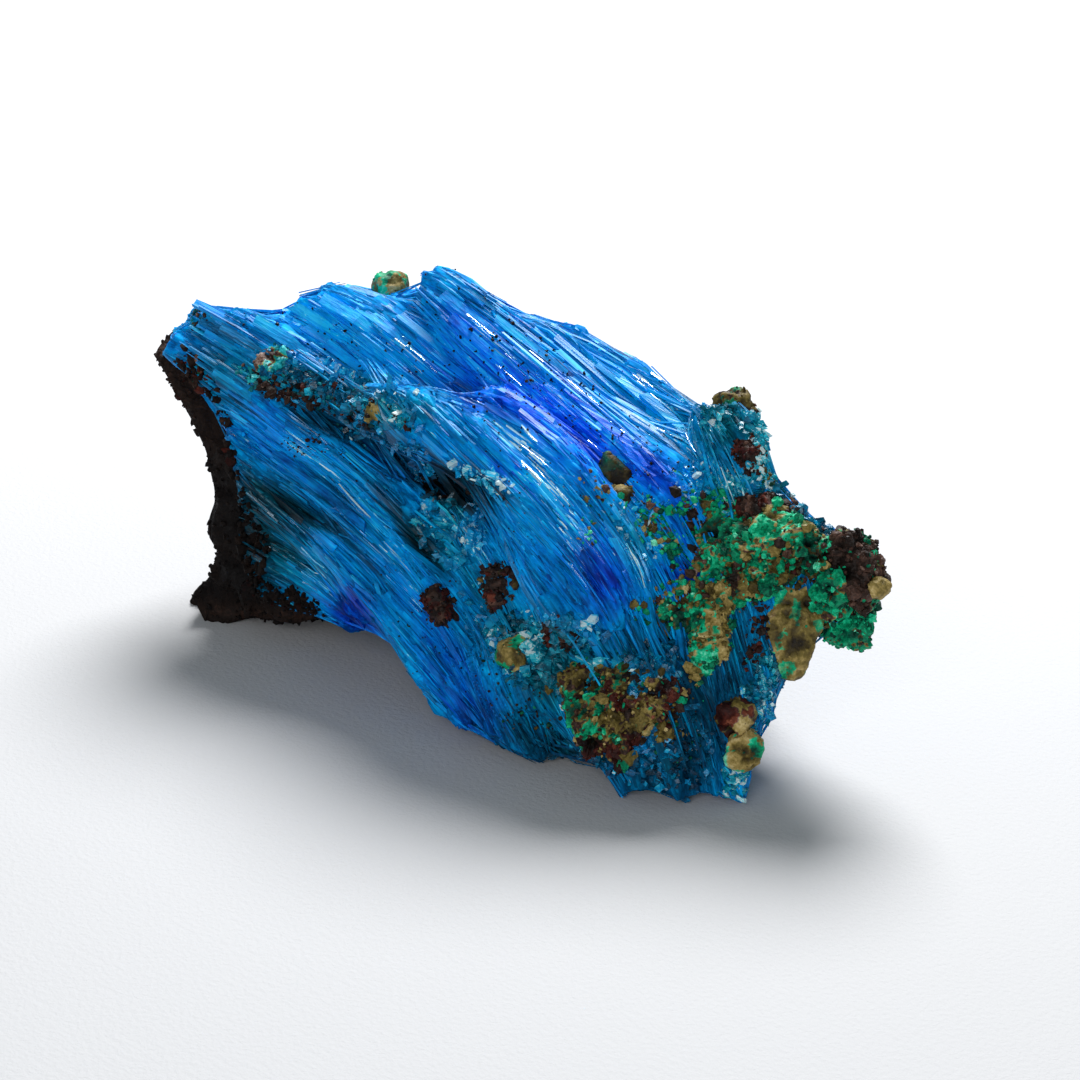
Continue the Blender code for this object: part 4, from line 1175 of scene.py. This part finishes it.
def crystal_material(name, rough, transmission, specular, painted_glint_gain, palest):
    """Fibrous blue crystal: colour by tone and hue, fine threads darkened at their edges as painted shade,
    and pale flecks along the fibres as painted glints.
    """
    n = Nodes(name)
    flow = n.attribute("flow", "Vector")
    threads = n.stretched(flow, (0.22, 3.6, 3.6))
    thread = n.cells(threads, 1.0)
    edge = n.cells(threads, 1.0, "Distance")
    fine = n.noise(n.stretched(flow, (0.30, 9.0, 9.0)), 1.0, detail=2.0)
    broad = n.noise(n.stretched(flow, (0.14, 1.3, 1.3)), 1.0, detail=3.0)
    painted_glints = n.noise(n.stretched(flow, (0.8, 10.0, 10.0)), 1.0, detail=1.0)
    cloud = n.noise(flow, 0.7, detail=4.0)
    changes = (
        (fine, 0.25, 0.75, -0.10, 0.10),
        (thread, 0.0, 1.0, -0.09, 0.09),
        # Darker towards the edges of the threads, where they meet: painted shade
        (edge, 0.25, 0.75, 0.04, -0.12),
        (broad, 0.3, 0.7, -0.10, 0.10),
        (cloud, 0.3, 0.7, -0.06, 0.06),
    )
    tone = n.math("MINIMUM", n.varied(n.attribute("tone"), changes), palest)
    # Pale flecks along the fibres: painted glints
    tone = n.varied(tone, ((painted_glints, 0.67, 0.74, 0.0, painted_glint_gain),))
    hue = n.varied(n.attribute("hue"), ((cloud, 0.3, 0.7, -0.12, 0.12),))
    colour = n.by_hue(hue, tone, CRYSTAL_TONES, ULTRAMARINE, ((0.0, 0.5, AZURE), (0.5, 1.0, TEAL)))
    height = n.math("ADD", n.math("MULTIPLY", fine, 0.5), n.math("MULTIPLY", edge, -0.5))
    return n.finish(
        Base_Color=colour,
        Roughness=n.remap(broad, 0.3, 0.7, rough - 0.06, rough + 0.14),
        Normal=n.bump(height, 0.00008),
        IOR=1.53,
        Transmission_Weight=transmission,
        Specular_IOR_Level=specular,
    )


# Colours of the crusts and the rock at certain tones
CRUST_TONES = (0.0, 0.35, 0.6, 0.8, 1.0)
TURQUOISE = (
    (0.0, 0.008, 0.012), (0.0, 0.08, 0.10), (0.0, 0.26, 0.31), (0.02, 0.50, 0.54), (0.50, 0.90, 0.88),
)
GREEN = (
    (0.0, 0.006, 0.005), (0.0, 0.07, 0.04), (0.0, 0.29, 0.13), (0.005, 0.54, 0.27), (0.25, 0.80, 0.55),
)
OCHRE = (
    (0.008, 0.005, 0.002), (0.060, 0.042, 0.010), (0.17, 0.125, 0.030),
    (0.36, 0.26, 0.085), (0.60, 0.47, 0.22),
)
BROWN = (
    (0.003, 0.002, 0.002), (0.014, 0.008, 0.006), (0.048, 0.023, 0.016),
    (0.13, 0.065, 0.045), (0.38, 0.30, 0.26),
)
RED = (
    (0.003, 0.001, 0.001), (0.022, 0.004, 0.003), (0.065, 0.011, 0.007),
    (0.15, 0.034, 0.016), (0.36, 0.14, 0.08),
)
WARMER = ((-0.25, -0.08, GREEN), (0.08, 0.25, OCHRE), (0.42, 0.58, BROWN), (0.76, 0.92, RED))


def crust_material(name, rough=0.5, grain=0.22, specular=0.16):
    """Granular crust. Its tone is 0 dark, 1 pale.

    Its hue is -0.33 turquoise, 0 green, 0.33 ochre, 0.67 brown, 1 dark red.
    """
    n = Nodes(name)
    flow = n.attribute("flow", "Vector")
    cloud = n.noise(flow, 0.7, detail=4.0)
    fine = n.noise(flow, 1 / grain, detail=3.0)
    spots = n.noise(flow, 2.2, detail=2.0)
    changes = ((fine, 0.25, 0.75, -0.16, 0.16), (cloud, 0.3, 0.7, -0.08, 0.08))
    tone = n.varied(n.attribute("tone"), changes)
    hue = n.varied(n.attribute("hue"), ((spots, 0.3, 0.7, -0.07, 0.07),))
    colour = n.by_hue(hue, tone, CRUST_TONES, TURQUOISE, WARMER)
    return n.finish(
        Base_Color=colour,
        Roughness=n.remap(cloud, 0.3, 0.7, rough - 0.12, rough + 0.18),
        Normal=n.bump(fine, 0.00010, 0.9),
        Specular_IOR_Level=specular,
    )


# Light all round, the backdrop's colour, and soft lamps as (place, diameter, watts), aimed at one spot.
# Their places and sizes are in metres, like the floor's half size
ROUND_LIGHT = (0.78, 0.92, 1.0, 1)
ROUND_LIGHT_STRENGTH = 0.22
BACKDROP = (0.97, 0.97, 0.98, 1)
LAMPS = {
    "softbox_behind": ((-0.13, 0.22, 0.33), 0.24, 3.3),
    "softbox_front": ((0.24, -0.40, 0.20), 0.30, 1.1),
}
LAMP_TARGET = (0, 0, 0.01)
FLOOR_HALF_SIZE = 0.65


def make_camera():
    """The camera, which looks at the show side."""
    data = bpy.data.cameras.new("camera")
    data.lens = LENS
    data.sensor_width = SENSOR_WIDTH
    obj = linked("camera", data)
    obj.location = Vector(EYE) * MM
    obj.rotation_euler = Vector(-TOWARD).to_track_quat("-Z", "Y").to_euler()
    bpy.context.scene.camera = obj


def soft_light(name, place, size, watts):
    """A round lamp aimed at the specimen."""
    data = bpy.data.lights.new(name, "AREA")
    data.shape = "DISK"
    data.size = size
    data.energy = watts
    obj = linked(name, data)
    obj.location = place
    obj.rotation_euler = (Vector(LAMP_TARGET) - Vector(place)).to_track_quat("-Z", "Y").to_euler()


def make_studio():
    """A white backdrop, dim light all round and two soft lamps above, behind and in front."""
    world = bpy.data.worlds.new("studio")
    world.use_nodes = True
    nodes = world.node_tree.nodes
    links = world.node_tree.links
    light = nodes["Background"]
    light.inputs[0].default_value = ROUND_LIGHT
    light.inputs[1].default_value = ROUND_LIGHT_STRENGTH
    backdrop = nodes.new("ShaderNodeBackground")
    backdrop.inputs[0].default_value = BACKDROP
    path = nodes.new("ShaderNodeLightPath")
    choose = nodes.new("ShaderNodeMixShader")
    links.new(path.outputs["Is Camera Ray"], choose.inputs[0])
    links.new(light.outputs[0], choose.inputs[1])
    links.new(backdrop.outputs[0], choose.inputs[2])
    links.new(choose.outputs[0], nodes["World Output"].inputs["Surface"])
    bpy.context.scene.world = world
    bpy.context.scene.view_settings.view_transform = "Standard"
    for name, (place, size, watts) in LAMPS.items():
        soft_light(name, place, size, watts)


def make_floor():
    """A plain pale board with a fine pebbled surface."""
    n = Nodes("floor_board")
    place = n.add("ShaderNodeTexCoord").outputs["Object"]
    pebbles = n.noise(place, 2600.0, detail=2.0)
    cloud = n.noise(place, 9.0, detail=2.0)
    colour = n.mix(cloud, (0.50, 0.50, 0.51), (0.54, 0.54, 0.55))
    material = n.finish(Base_Color=colour, Roughness=0.75, Normal=n.bump(pebbles, 0.00012, 0.5))
    mesh = bpy.data.meshes.new("floor")
    corners = [(x * FLOOR_HALF_SIZE, y * FLOOR_HALF_SIZE, 0) for x, y in FLAT]
    mesh.from_pydata(corners, [], [(0, 1, 2, 3)])
    mesh.materials.append(material)
    obj = linked("floor", mesh)


# Crusts and lumps: node: (slot, relief, tone, hues of its patches and of the grains on it)
CRUSTS = {
    "green_crust": ("green_crust", 0.34, 0.44, (0.0, 0.0, 0.33, 0.0, 0.67, 0.0, 0.33, 0.0)),
    "tip_crust": ("green_crust", 0.30, 0.42, (0.0, 0.0, 0.0, 0.67, 0.0, 0.0)),
    "ridge_crust": ("green_crust", 0.30, 0.46, (0.33, 0.0, 0.0, 0.33, 0.33, 0.0)),
    "lower_crust": ("brown_crust", 0.34, 0.42, (0.0, 0.33, 0.67, 0.33, 0.67, 0.33, 1.0)),
    "teal_knob": ("green_crust", 0.20, 0.60, (-0.33, -0.33, -0.33, 0.67)),
    "end_block": ("brown_crust", 0.30, 0.34, (0.0, 0.67, 0.67, 0.67, 0.67)),
    "brown_cap": ("brown_crust", 0.20, 0.34, (0.67, 1.0, 0.67)),
    "red_lump": ("brown_crust", 0.24, 0.34, (1.0, 1.0, 0.67)),
    "brown_lump_front": ("brown_crust", 0.26, 0.24, (0.67, 0.67, 1.0)),
    "brown_lump_left": ("brown_crust", 0.26, 0.26, (0.67, 1.0)),
    "brown_lump_low": ("brown_crust", 0.26, 0.24, (1.0, 0.67, 0.67)),
    "dark_lump": ("brown_crust", 0.22, 0.36, (0.67, 0.33)),
    "ochre_slab": ("ochre_grain", 0.09, 0.48, (0.45, 0.33, 0.33, 0.33, 0.33, 0.33, 0.33, 0.10)),
    "ochre_flake": ("ochre_grain", 0.10, 0.66, (0.33,)),
    "ochre_chip": ("ochre_grain", 0.13, 0.54, (0.33, 0.33, 0.33)),
    "ochre_grain": ("ochre_grain", 0.18, 0.46, (0.33, 0.33, 0.33, 1.0)),
    "yellow_grain": ("ochre_grain", 0.16, 0.50, (0.33, 0.33, 0.33, 0.33, 0.0)),
    "tip_grain": ("ochre_grain", 0.10, 0.66, (0.33,)),
    "oval_pebble": ("ochre_grain", 0.14, 0.50, (0.33, 0.0, 0.33, 0.0)),
    "olive_flake": ("olive_grain", 0.06, -0.06, (0.28, 0.10)),
    "small_olive_flake": ("olive_grain", 0.12, 0.36, (0.33, 0.0)),
    "rear_knob": ("olive_grain", 0.16, 0.46, (0.0, 0.33)),
    "top_knob": ("olive_grain", 0.26, 0.32, (0.33, 0.33, 0.67, 0.0)),
}
# Small moves (across, up, toward the viewer) of lumps that stand on the crest or lie on the show side
SHIFTS = {"rear_knob": (0.0, -0.2, 0.0), "top_knob": (0.0, -0.2, 0.0), "olive_flake": (0.2, -0.4, 0.5)}
# How far loose grains stand off the crystal, how far crusts swell, and their pits' depth and the shade
# painted in them
GRAIN_LIFT = 0.12
CRUST_SWELLING = 0.2
PIT_DEPTH = 0.5
PIT_SHADE = 0.46
# Angular lumps: how much broader they are before they are cut, and their flat sides, given as the
# direction on the show side in degrees and how far out they lie
FLAT_SIDES = {
    "olive_flake": (2.0, ((51, 0.50), (159, 0.90), (-90, 0.70))),
    "ochre_chip": (1.5, ((84, 0.40), (-98, 0.40), (172, 1.20), (-8, 1.20))),
    "ochre_slab": (1.0, ((150, 1.9), (-20, 1.7), (35, 2.2))),
}
# Fineness of the big crusts and of the lumps, and the size of their patches of colour
CRUST_VOXEL = 0.20
LUMP_VOXEL = 0.13
CRUST_PATCH = 1.3
LUMP_PATCH = 0.8
# Grains on a crust, and on a lump by its slot: shape, how many on a square millimetre, smallest and
# largest half size
CRUST_GRAINS = ((ball(2), 0.45, 0.18, 0.50), (ball(1), 7.0, 0.06, 0.20))
LUMP_GRAINS = {
    "brown_crust": ((ball(1), 7.0, 0.07, 0.20),),
    "green_crust": ((ball(1), 7.0, 0.06, 0.18),),
    "ochre_grain": ((ball(1), 0.6, 0.05, 0.12),),
    "olive_grain": ((ball(1), 1.5, 0.05, 0.12),),
}
BIG_CRUSTS = ("green_crust", "tip_crust", "ridge_crust", "lower_crust", "end_block")

# The wall rock: fineness, relief as (size, amount), height of the foot that stays flat, how near its
# outline it comes and by what share it is drawn out to it, chips on it, and its hues
ROCK_VOXEL = 0.34
ROCK_RELIEF = ((2.6, 0.45), (1.1, 0.26), (0.5, 0.14), (0.25, 0.06))
ROCK_FOOT = 0.4
ROCK_MARGIN = 0.1
ROCK_DRAWN_OUT = 0.8
ROCK_CHIPS = 1500
ROCK_BROWN = 0.67
ROCK_RED = 0.95


def refined_node(node, voxel):
    """Points and triangles of a CAD node after an even, finer remesh."""
    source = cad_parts[node]
    copy = source.copy()
    copy.data = source.data.copy()
    copy.parent = None
    bpy.context.scene.collection.objects.link(copy)
    return remeshed(copy, voxel, 2)


def knobbly(points, relief, seed):
    """Relief like a crust of small round lumps with pits between them."""
    out = np.zeros(len(points))
    for step, (size, share) in enumerate(((1.3, 1.0), (0.6, 0.8), (0.35, 0.5))):
        out += relief * share * (0.8 - 2.2 * np.abs(lattice(points / size, seed + 5 * step)))
    return out + relief * 0.8 * lattice(points / 1.8, seed + 90)


def patchy(points, choices, size, seed):
    """A value from the choices for each point, the same over patches of about the given size."""
    sizes = ((size, size * 0.5), (size / 3, size * 0.2))
    warp = np.stack([layered(points, sizes, seed + axis) for axis in range(3)], axis=1)
    level = (lattice((points + warp) / size, seed + 3, sharp=6.0) + 1) / 2
    level = np.clip((level - 0.5) * 1.5 + 0.5, 0, 0.999)
    return np.array(choices)[(level * len(choices)).astype(int)]


def pits(points, seed):
    """1 in the pits of a crust, 0 outside them."""
    return np.clip(layered(points, ((1.5, 1.0), (0.7, 0.5)), seed) * 2.5 - 0.8, 0, 1)


def flat_sided(points, larger, sides):
    """Points made broader on the show side, and those beyond each flat side pressed back to it."""
    middle = (points.min(axis=0) + points.max(axis=0)) / 2
    off = points - middle
    broad = off - (off @ TOWARD)[:, None] * TOWARD
    points = points + broad * (larger - 1)
    for degrees, far in sides:
        way = RIGHT * math.cos(math.radians(degrees)) + UPWARD * math.sin(math.radians(degrees))
        over = np.maximum((points - middle) @ way - far, 0)
        points = points - over[:, None] * way * 0.9
    return points


def make_crust(node, number, materials):
    """A crust or lump: its CAD node with relief, patches of colour, painted light on its tops and painted
    shade between them, and, if big, pits painted dark as shade, and its grains.
    """
    slot, relief, tone, choices = CRUSTS[node]
    rng = np.random.default_rng(500 + number)
    big = node in BIG_CRUSTS
    patch = CRUST_PATCH if big else LUMP_PATCH
    points, triangles = refined_node(node, CRUST_VOXEL if big else LUMP_VOXEL)
    if node in FLAT_SIDES:
        points = flat_sided(points, *FLAT_SIDES[node])
    normals = point_normals(points, triangles)
    out = knobbly(points, relief, number)
    # Paler on the tops of the lumps and darker between them: painted light and shade, over a random change of
    # tone
    shade = layered(points, ((0.9, 0.10), (0.3, 0.08)), 60 + number) + 0.22 * out / relief
    if big:
        deep = pits(points, 800 + number)
        out = out - PIT_DEPTH * deep
        # Pits painted darker: painted shade
        shade = shade - PIT_SHADE * deep
    points = points + normals * (out + CRUST_SWELLING)[:, None]
    across, up, toward = SHIFTS.get(node, (0.0, 0.0, 0.0))
    points = points + RIGHT * across + UPWARD * up + TOWARD * toward
    piece = Piece()
    hue = patchy(points, choices, patch, 400 + number)
    piece.add(points, [triangles], tone=tone + shade, hue=hue)
    surface = Surface(points, triangles)
    area = surface.area()
    for template, density, small, large in CRUST_GRAINS if big else LUMP_GRAINS.get(slot, ()):
        count = int(area * density)
        places, ways = surface.scattered(rng, count)
        if big:
            clear = pits(places, 800 + number) < 0.4
            places, ways = places[clear], ways[clear]
            count = len(places)
        size = rng.uniform(small, large, (count, 1)) * rng.uniform(0.6, 1.3, (count, 3))
        near = patchy(places, choices, patch, 400 + number)
        hues = np.where(rng.random(count) < 0.6, near, rng.choice(choices, count))
        hues = hues + rng.normal(0, 0.03, count)
        tones = np.clip(rng.normal(tone + 0.12, 0.15, count), 0.03, 0.98)
        offset = ways * size.mean(axis=1, keepdims=True) * rng.uniform(-0.4, 0.6, (count, 1))
        scatter(piece, rng, template, places + offset, size, turned(rng, count), tones, hues, rough=0.35)
    piece.build(f"{node}_surface", materials[slot], node, slot, smooth=not big)


def height_share(points):
    """0 on the lower part of the wall rock as it shows, 1 on its upper part."""
    return np.clip((shown_at(points)[:, 1] - 4.0) / 5.0, 0, 1)


def make_wall_rock(materials):
    """Near-black broken rock with pits, ribs and small chips."""
    rng = np.random.default_rng(77)
    points, triangles = refined_node("wall_rock", ROCK_VOXEL)
    normals = point_normals(points, triangles)
    out = layered(points, ROCK_RELIEF, 5)
    out = np.where(points[:, 2] < ROCK_FOOT, np.minimum(out, 0.0) * 0.3, out)
    drawn_out = edgewise(normals) * ROCK_DRAWN_OUT
    points = held_inside(points + normals * out[:, None], ROCK_OUTLINE, ROCK_MARGIN, drawn_out)
    rim = np.exp(-(((shown_at(points)[:, 1] + 5.2) / 0.7) ** 2)) * 0.35
    shade = layered(points, ((1.6, 0.10), (0.5, 0.08)), 9)
    tone = 0.04 + 0.30 * height_share(points) + rim + shade
    piece = Piece()
    piece.add(points, [triangles], tone=tone, hue=ROCK_BROWN)
    places = Surface(points, triangles).scattered(rng, ROCK_CHIPS)[0]
    places = places[places[:, 2] > ROCK_FOOT]
    count = len(places)
    size = rng.uniform(0.08, 0.26, (count, 1)) * rng.uniform(0.5, 1.4, (count, 3))
    high = height_share(places)
    tones = np.clip(rng.normal(0.07, 0.07, count) + 0.28 * high, 0.02, 0.9)
    hues = np.where(rng.random(count) < 0.15 * high, ROCK_RED, ROCK_BROWN)
    scatter(piece, rng, ball(1), places, size, turned(rng, count), tones, hues, rough=0.4)
    piece.build("wall_rock_surface", materials["wall_rock"], "wall_rock", "wall_rock")


def fibrous_places(rng, smooth, count):
    """Random places over the body, outside the crumbly ones."""
    places, ways = smooth.scattered(rng, count)
    return places[bareness(places, ways) < 0.5]


def make_laths(smooth, material):
    """Flat bundles of fibres over the whole body."""
    rng = np.random.default_rng(201)
    start = fibrous_places(rng, smooth, 1500)
    count = len(start)
    width = rng.uniform(0.25, 0.62, count)
    thickness = width * rng.uniform(0.25, 0.5, count)
    brighter = (rng.random(count) < 0.06) * rng.uniform(0.04, 0.12, count)
    length = rng.uniform(4.0, 11.0, count)
    lift = rng.uniform(-0.12, 0.03, count)
    piece = laid_fibres(
        rng, smooth, start, length, width, thickness, lift, brighter,
        rolled=0.16, blunt=(0.5, 0.15), section=FLAT,
    )
    piece.build("crystal_laths", material, "chalcanthite", "blue_crystal")


def make_fibres(smooth, material):
    """Single fine fibres over the whole body, longer and thicker ones and short, thin ones."""
    kinds = (
        ("crystal_fibres", 9600, (0.12, 0.28), (3.0, 11.0), 0.05),
        ("fine_fibres", 7600, (0.06, 0.15), (1.5, 6.0), 0.12),
    )
    for number, (name, count, widths, lengths, share) in enumerate(kinds):
        rng = np.random.default_rng(210 + number)
        start = fibrous_places(rng, smooth, count)
        count = len(start)
        width = rng.uniform(*widths, count)
        brighter = (rng.random(count) < share) * rng.uniform(0.1, 0.3, count)
        length = rng.uniform(*lengths, count)
        lift = rng.uniform(-0.03, 0.05, count)
        piece = laid_fibres(
            rng, smooth, start, length, width, width * 0.5, lift, brighter,
            rolled=0.3, blunt=(0.3, 0.15), section=THREE_SIDED,
        )
        piece.build(name, material, "chalcanthite", "blue_crystal")


def make_streaks(smooth, material):
    """Rows of fine fibres on the show side, glossy and made paler as painted glints."""
    rng = np.random.default_rng(203)
    places, brighter = [], []
    for line, breadth, count, more in STREAKS:
        along_line = along(np.array(line, float), rng.random(count))
        places.append(along_line + rng.normal(0, breadth * 0.7, (count, 2)))
        # Paler fibres along these rows: painted glints
        brighter.append(rng.uniform(0.5, 1.2, count) * more)
    start, _ = shown_on(smooth, np.vstack(places))
    count = len(start)
    brighter = np.concatenate(brighter)[:count]
    width = rng.uniform(0.06, 0.14, count)
    length = rng.uniform(0.6, 4.0, count)
    lift = rng.uniform(0.04, 0.14, count)
    piece = laid_fibres(
        rng, smooth, start, length, width, width, lift, brighter,
        rolled=0.5, blunt=(0.4, 0.4), section=THREE_SIDED,
    )
    piece.build("crystal_streaks", material, "chalcanthite", "blue_crystal")


def make_blocks(smooth, material):
    """Blunt blocks where sheaves are broken off."""
    rng = np.random.default_rng(204)
    start, _ = shown_on(smooth, [row[0] for row in BLOCKS])
    length, width, thickness = np.array([row[1:] for row in BLOCKS]).T
    start, _ = smooth.nearest(start + FLOW.at(start)[1] * (length / 2)[:, None])
    count = len(start)
    lift = rng.uniform(-0.1, 0.1, count)
    brighter = rng.uniform(-0.04, 0.04, count)
    piece = laid_fibres(
        rng, smooth, start, length, width, thickness, lift, brighter,
        rolled=0.12, blunt=(1.0, 0.0), section=FLAT,
    )
    piece.build("crystal_blocks", material, "chalcanthite", "blue_crystal")


def make_sugar(surface, material):
    """Small crystals in the crumbly zones, some of them paler as painted glints."""
    rng = np.random.default_rng(205)
    piece = Piece()
    for centre, radii, degrees, count, small, large, more_teal, paler in SUGAR_ZONES:
        places, ways = shown_on(surface, spread_over(rng, centre, radii, degrees, count))
        count = len(places)
        size = small + (large - small) * rng.random((count, 1)) ** 1.5
        size = size * rng.uniform(0.5, 1.2, (count, 3))
        size[:, 2] *= rng.uniform(0.8, 2.0, count)
        hue, tone, _ = crystal_colour(places)
        glints = (rng.random(count) < 0.14) * rng.uniform(0.2, 0.5, count)
        clumps = layered(places, ((1.3, 0.14), (0.6, 0.10)), 81)
        tone = tone + paler + clumps + glints + rng.normal(0, 0.06, count)
        hue = hue + more_teal + rng.normal(0, 0.05, count)
        lifted = places + ways * size.mean(axis=1, keepdims=True) * rng.uniform(-0.3, 0.8, (count, 1))
        scatter(piece, rng, prism(4), lifted, size, turned(rng, count), tone, hue)
    piece.build("sugar_crystals", material, "chalcanthite", "blue_crystal")


def make_grains(surface, materials):
    """Loose grains on the crystal round each crust, the chips of rock on it and black specks."""
    slots = {node: row[0] for node, row in CRUSTS.items()}
    slots["wall_rock"] = "wall_rock"
    for number, (node, zones) in enumerate(GRAIN_ZONES.items()):
        rng = np.random.default_rng(300 + number)
        piece = Piece()
        for centre, radii, degrees, count, small, large, hues, tone in zones:
            places, ways = shown_on(surface, spread_over(rng, centre, radii, degrees, count))
            count = len(places)
            size = small + (large - small) * rng.random((count, 1)) ** 2
            size = size * rng.uniform(0.6, 1.3, (count, 3))
            hue = rng.choice(hues, count) + rng.normal(0, 0.03, count)
            tones = np.clip(rng.normal(tone, 0.13, count), 0.02, 0.98)
            stand = size.mean(axis=1, keepdims=True) * rng.uniform(-0.3, 1.0, (count, 1)) + GRAIN_LIFT
            lifted = places + ways * stand
            scatter(piece, rng, ball(1), lifted, size, turned(rng, count), tones, hue, rough=0.4)
        piece.build(f"{node}_grains", materials[slots[node]], node, slots[node])


def make_crystal():
    """All pieces of the blue crystal. Returns its broken surface, which loose grains lie on."""
    body_material = crystal_material("blue_crystal", 0.50, 0.05, 0.012, painted_glint_gain=0.14, palest=0.84)
    fibre_material = crystal_material("blue_fibre", 0.44, 0.05, 0.015, painted_glint_gain=0.16, palest=0.87)
    glint_material = crystal_material("blue_glint", 0.20, 0.25, 0.25, painted_glint_gain=0.40, palest=1.0)
    smooth, broken = make_body(body_material)
    make_laths(smooth, fibre_material)
    make_fibres(smooth, fibre_material)
    make_streaks(smooth, glint_material)
    make_blocks(smooth, body_material)
    make_sugar(broken, glint_material)
    return broken


def main():
    make_camera()
    make_studio()
    make_floor()
    broken = make_crystal()
    slots = ("green_crust", "brown_crust", "ochre_grain", "olive_grain")
    materials = {slot: crust_material(slot) for slot in slots}
    materials["wall_rock"] = crust_material("wall_rock", rough=0.75, specular=0.12)
    for number, node in enumerate(CRUSTS):
        make_crust(node, number, materials)
    make_wall_rock(materials)
    make_grains(broken, materials)


main()
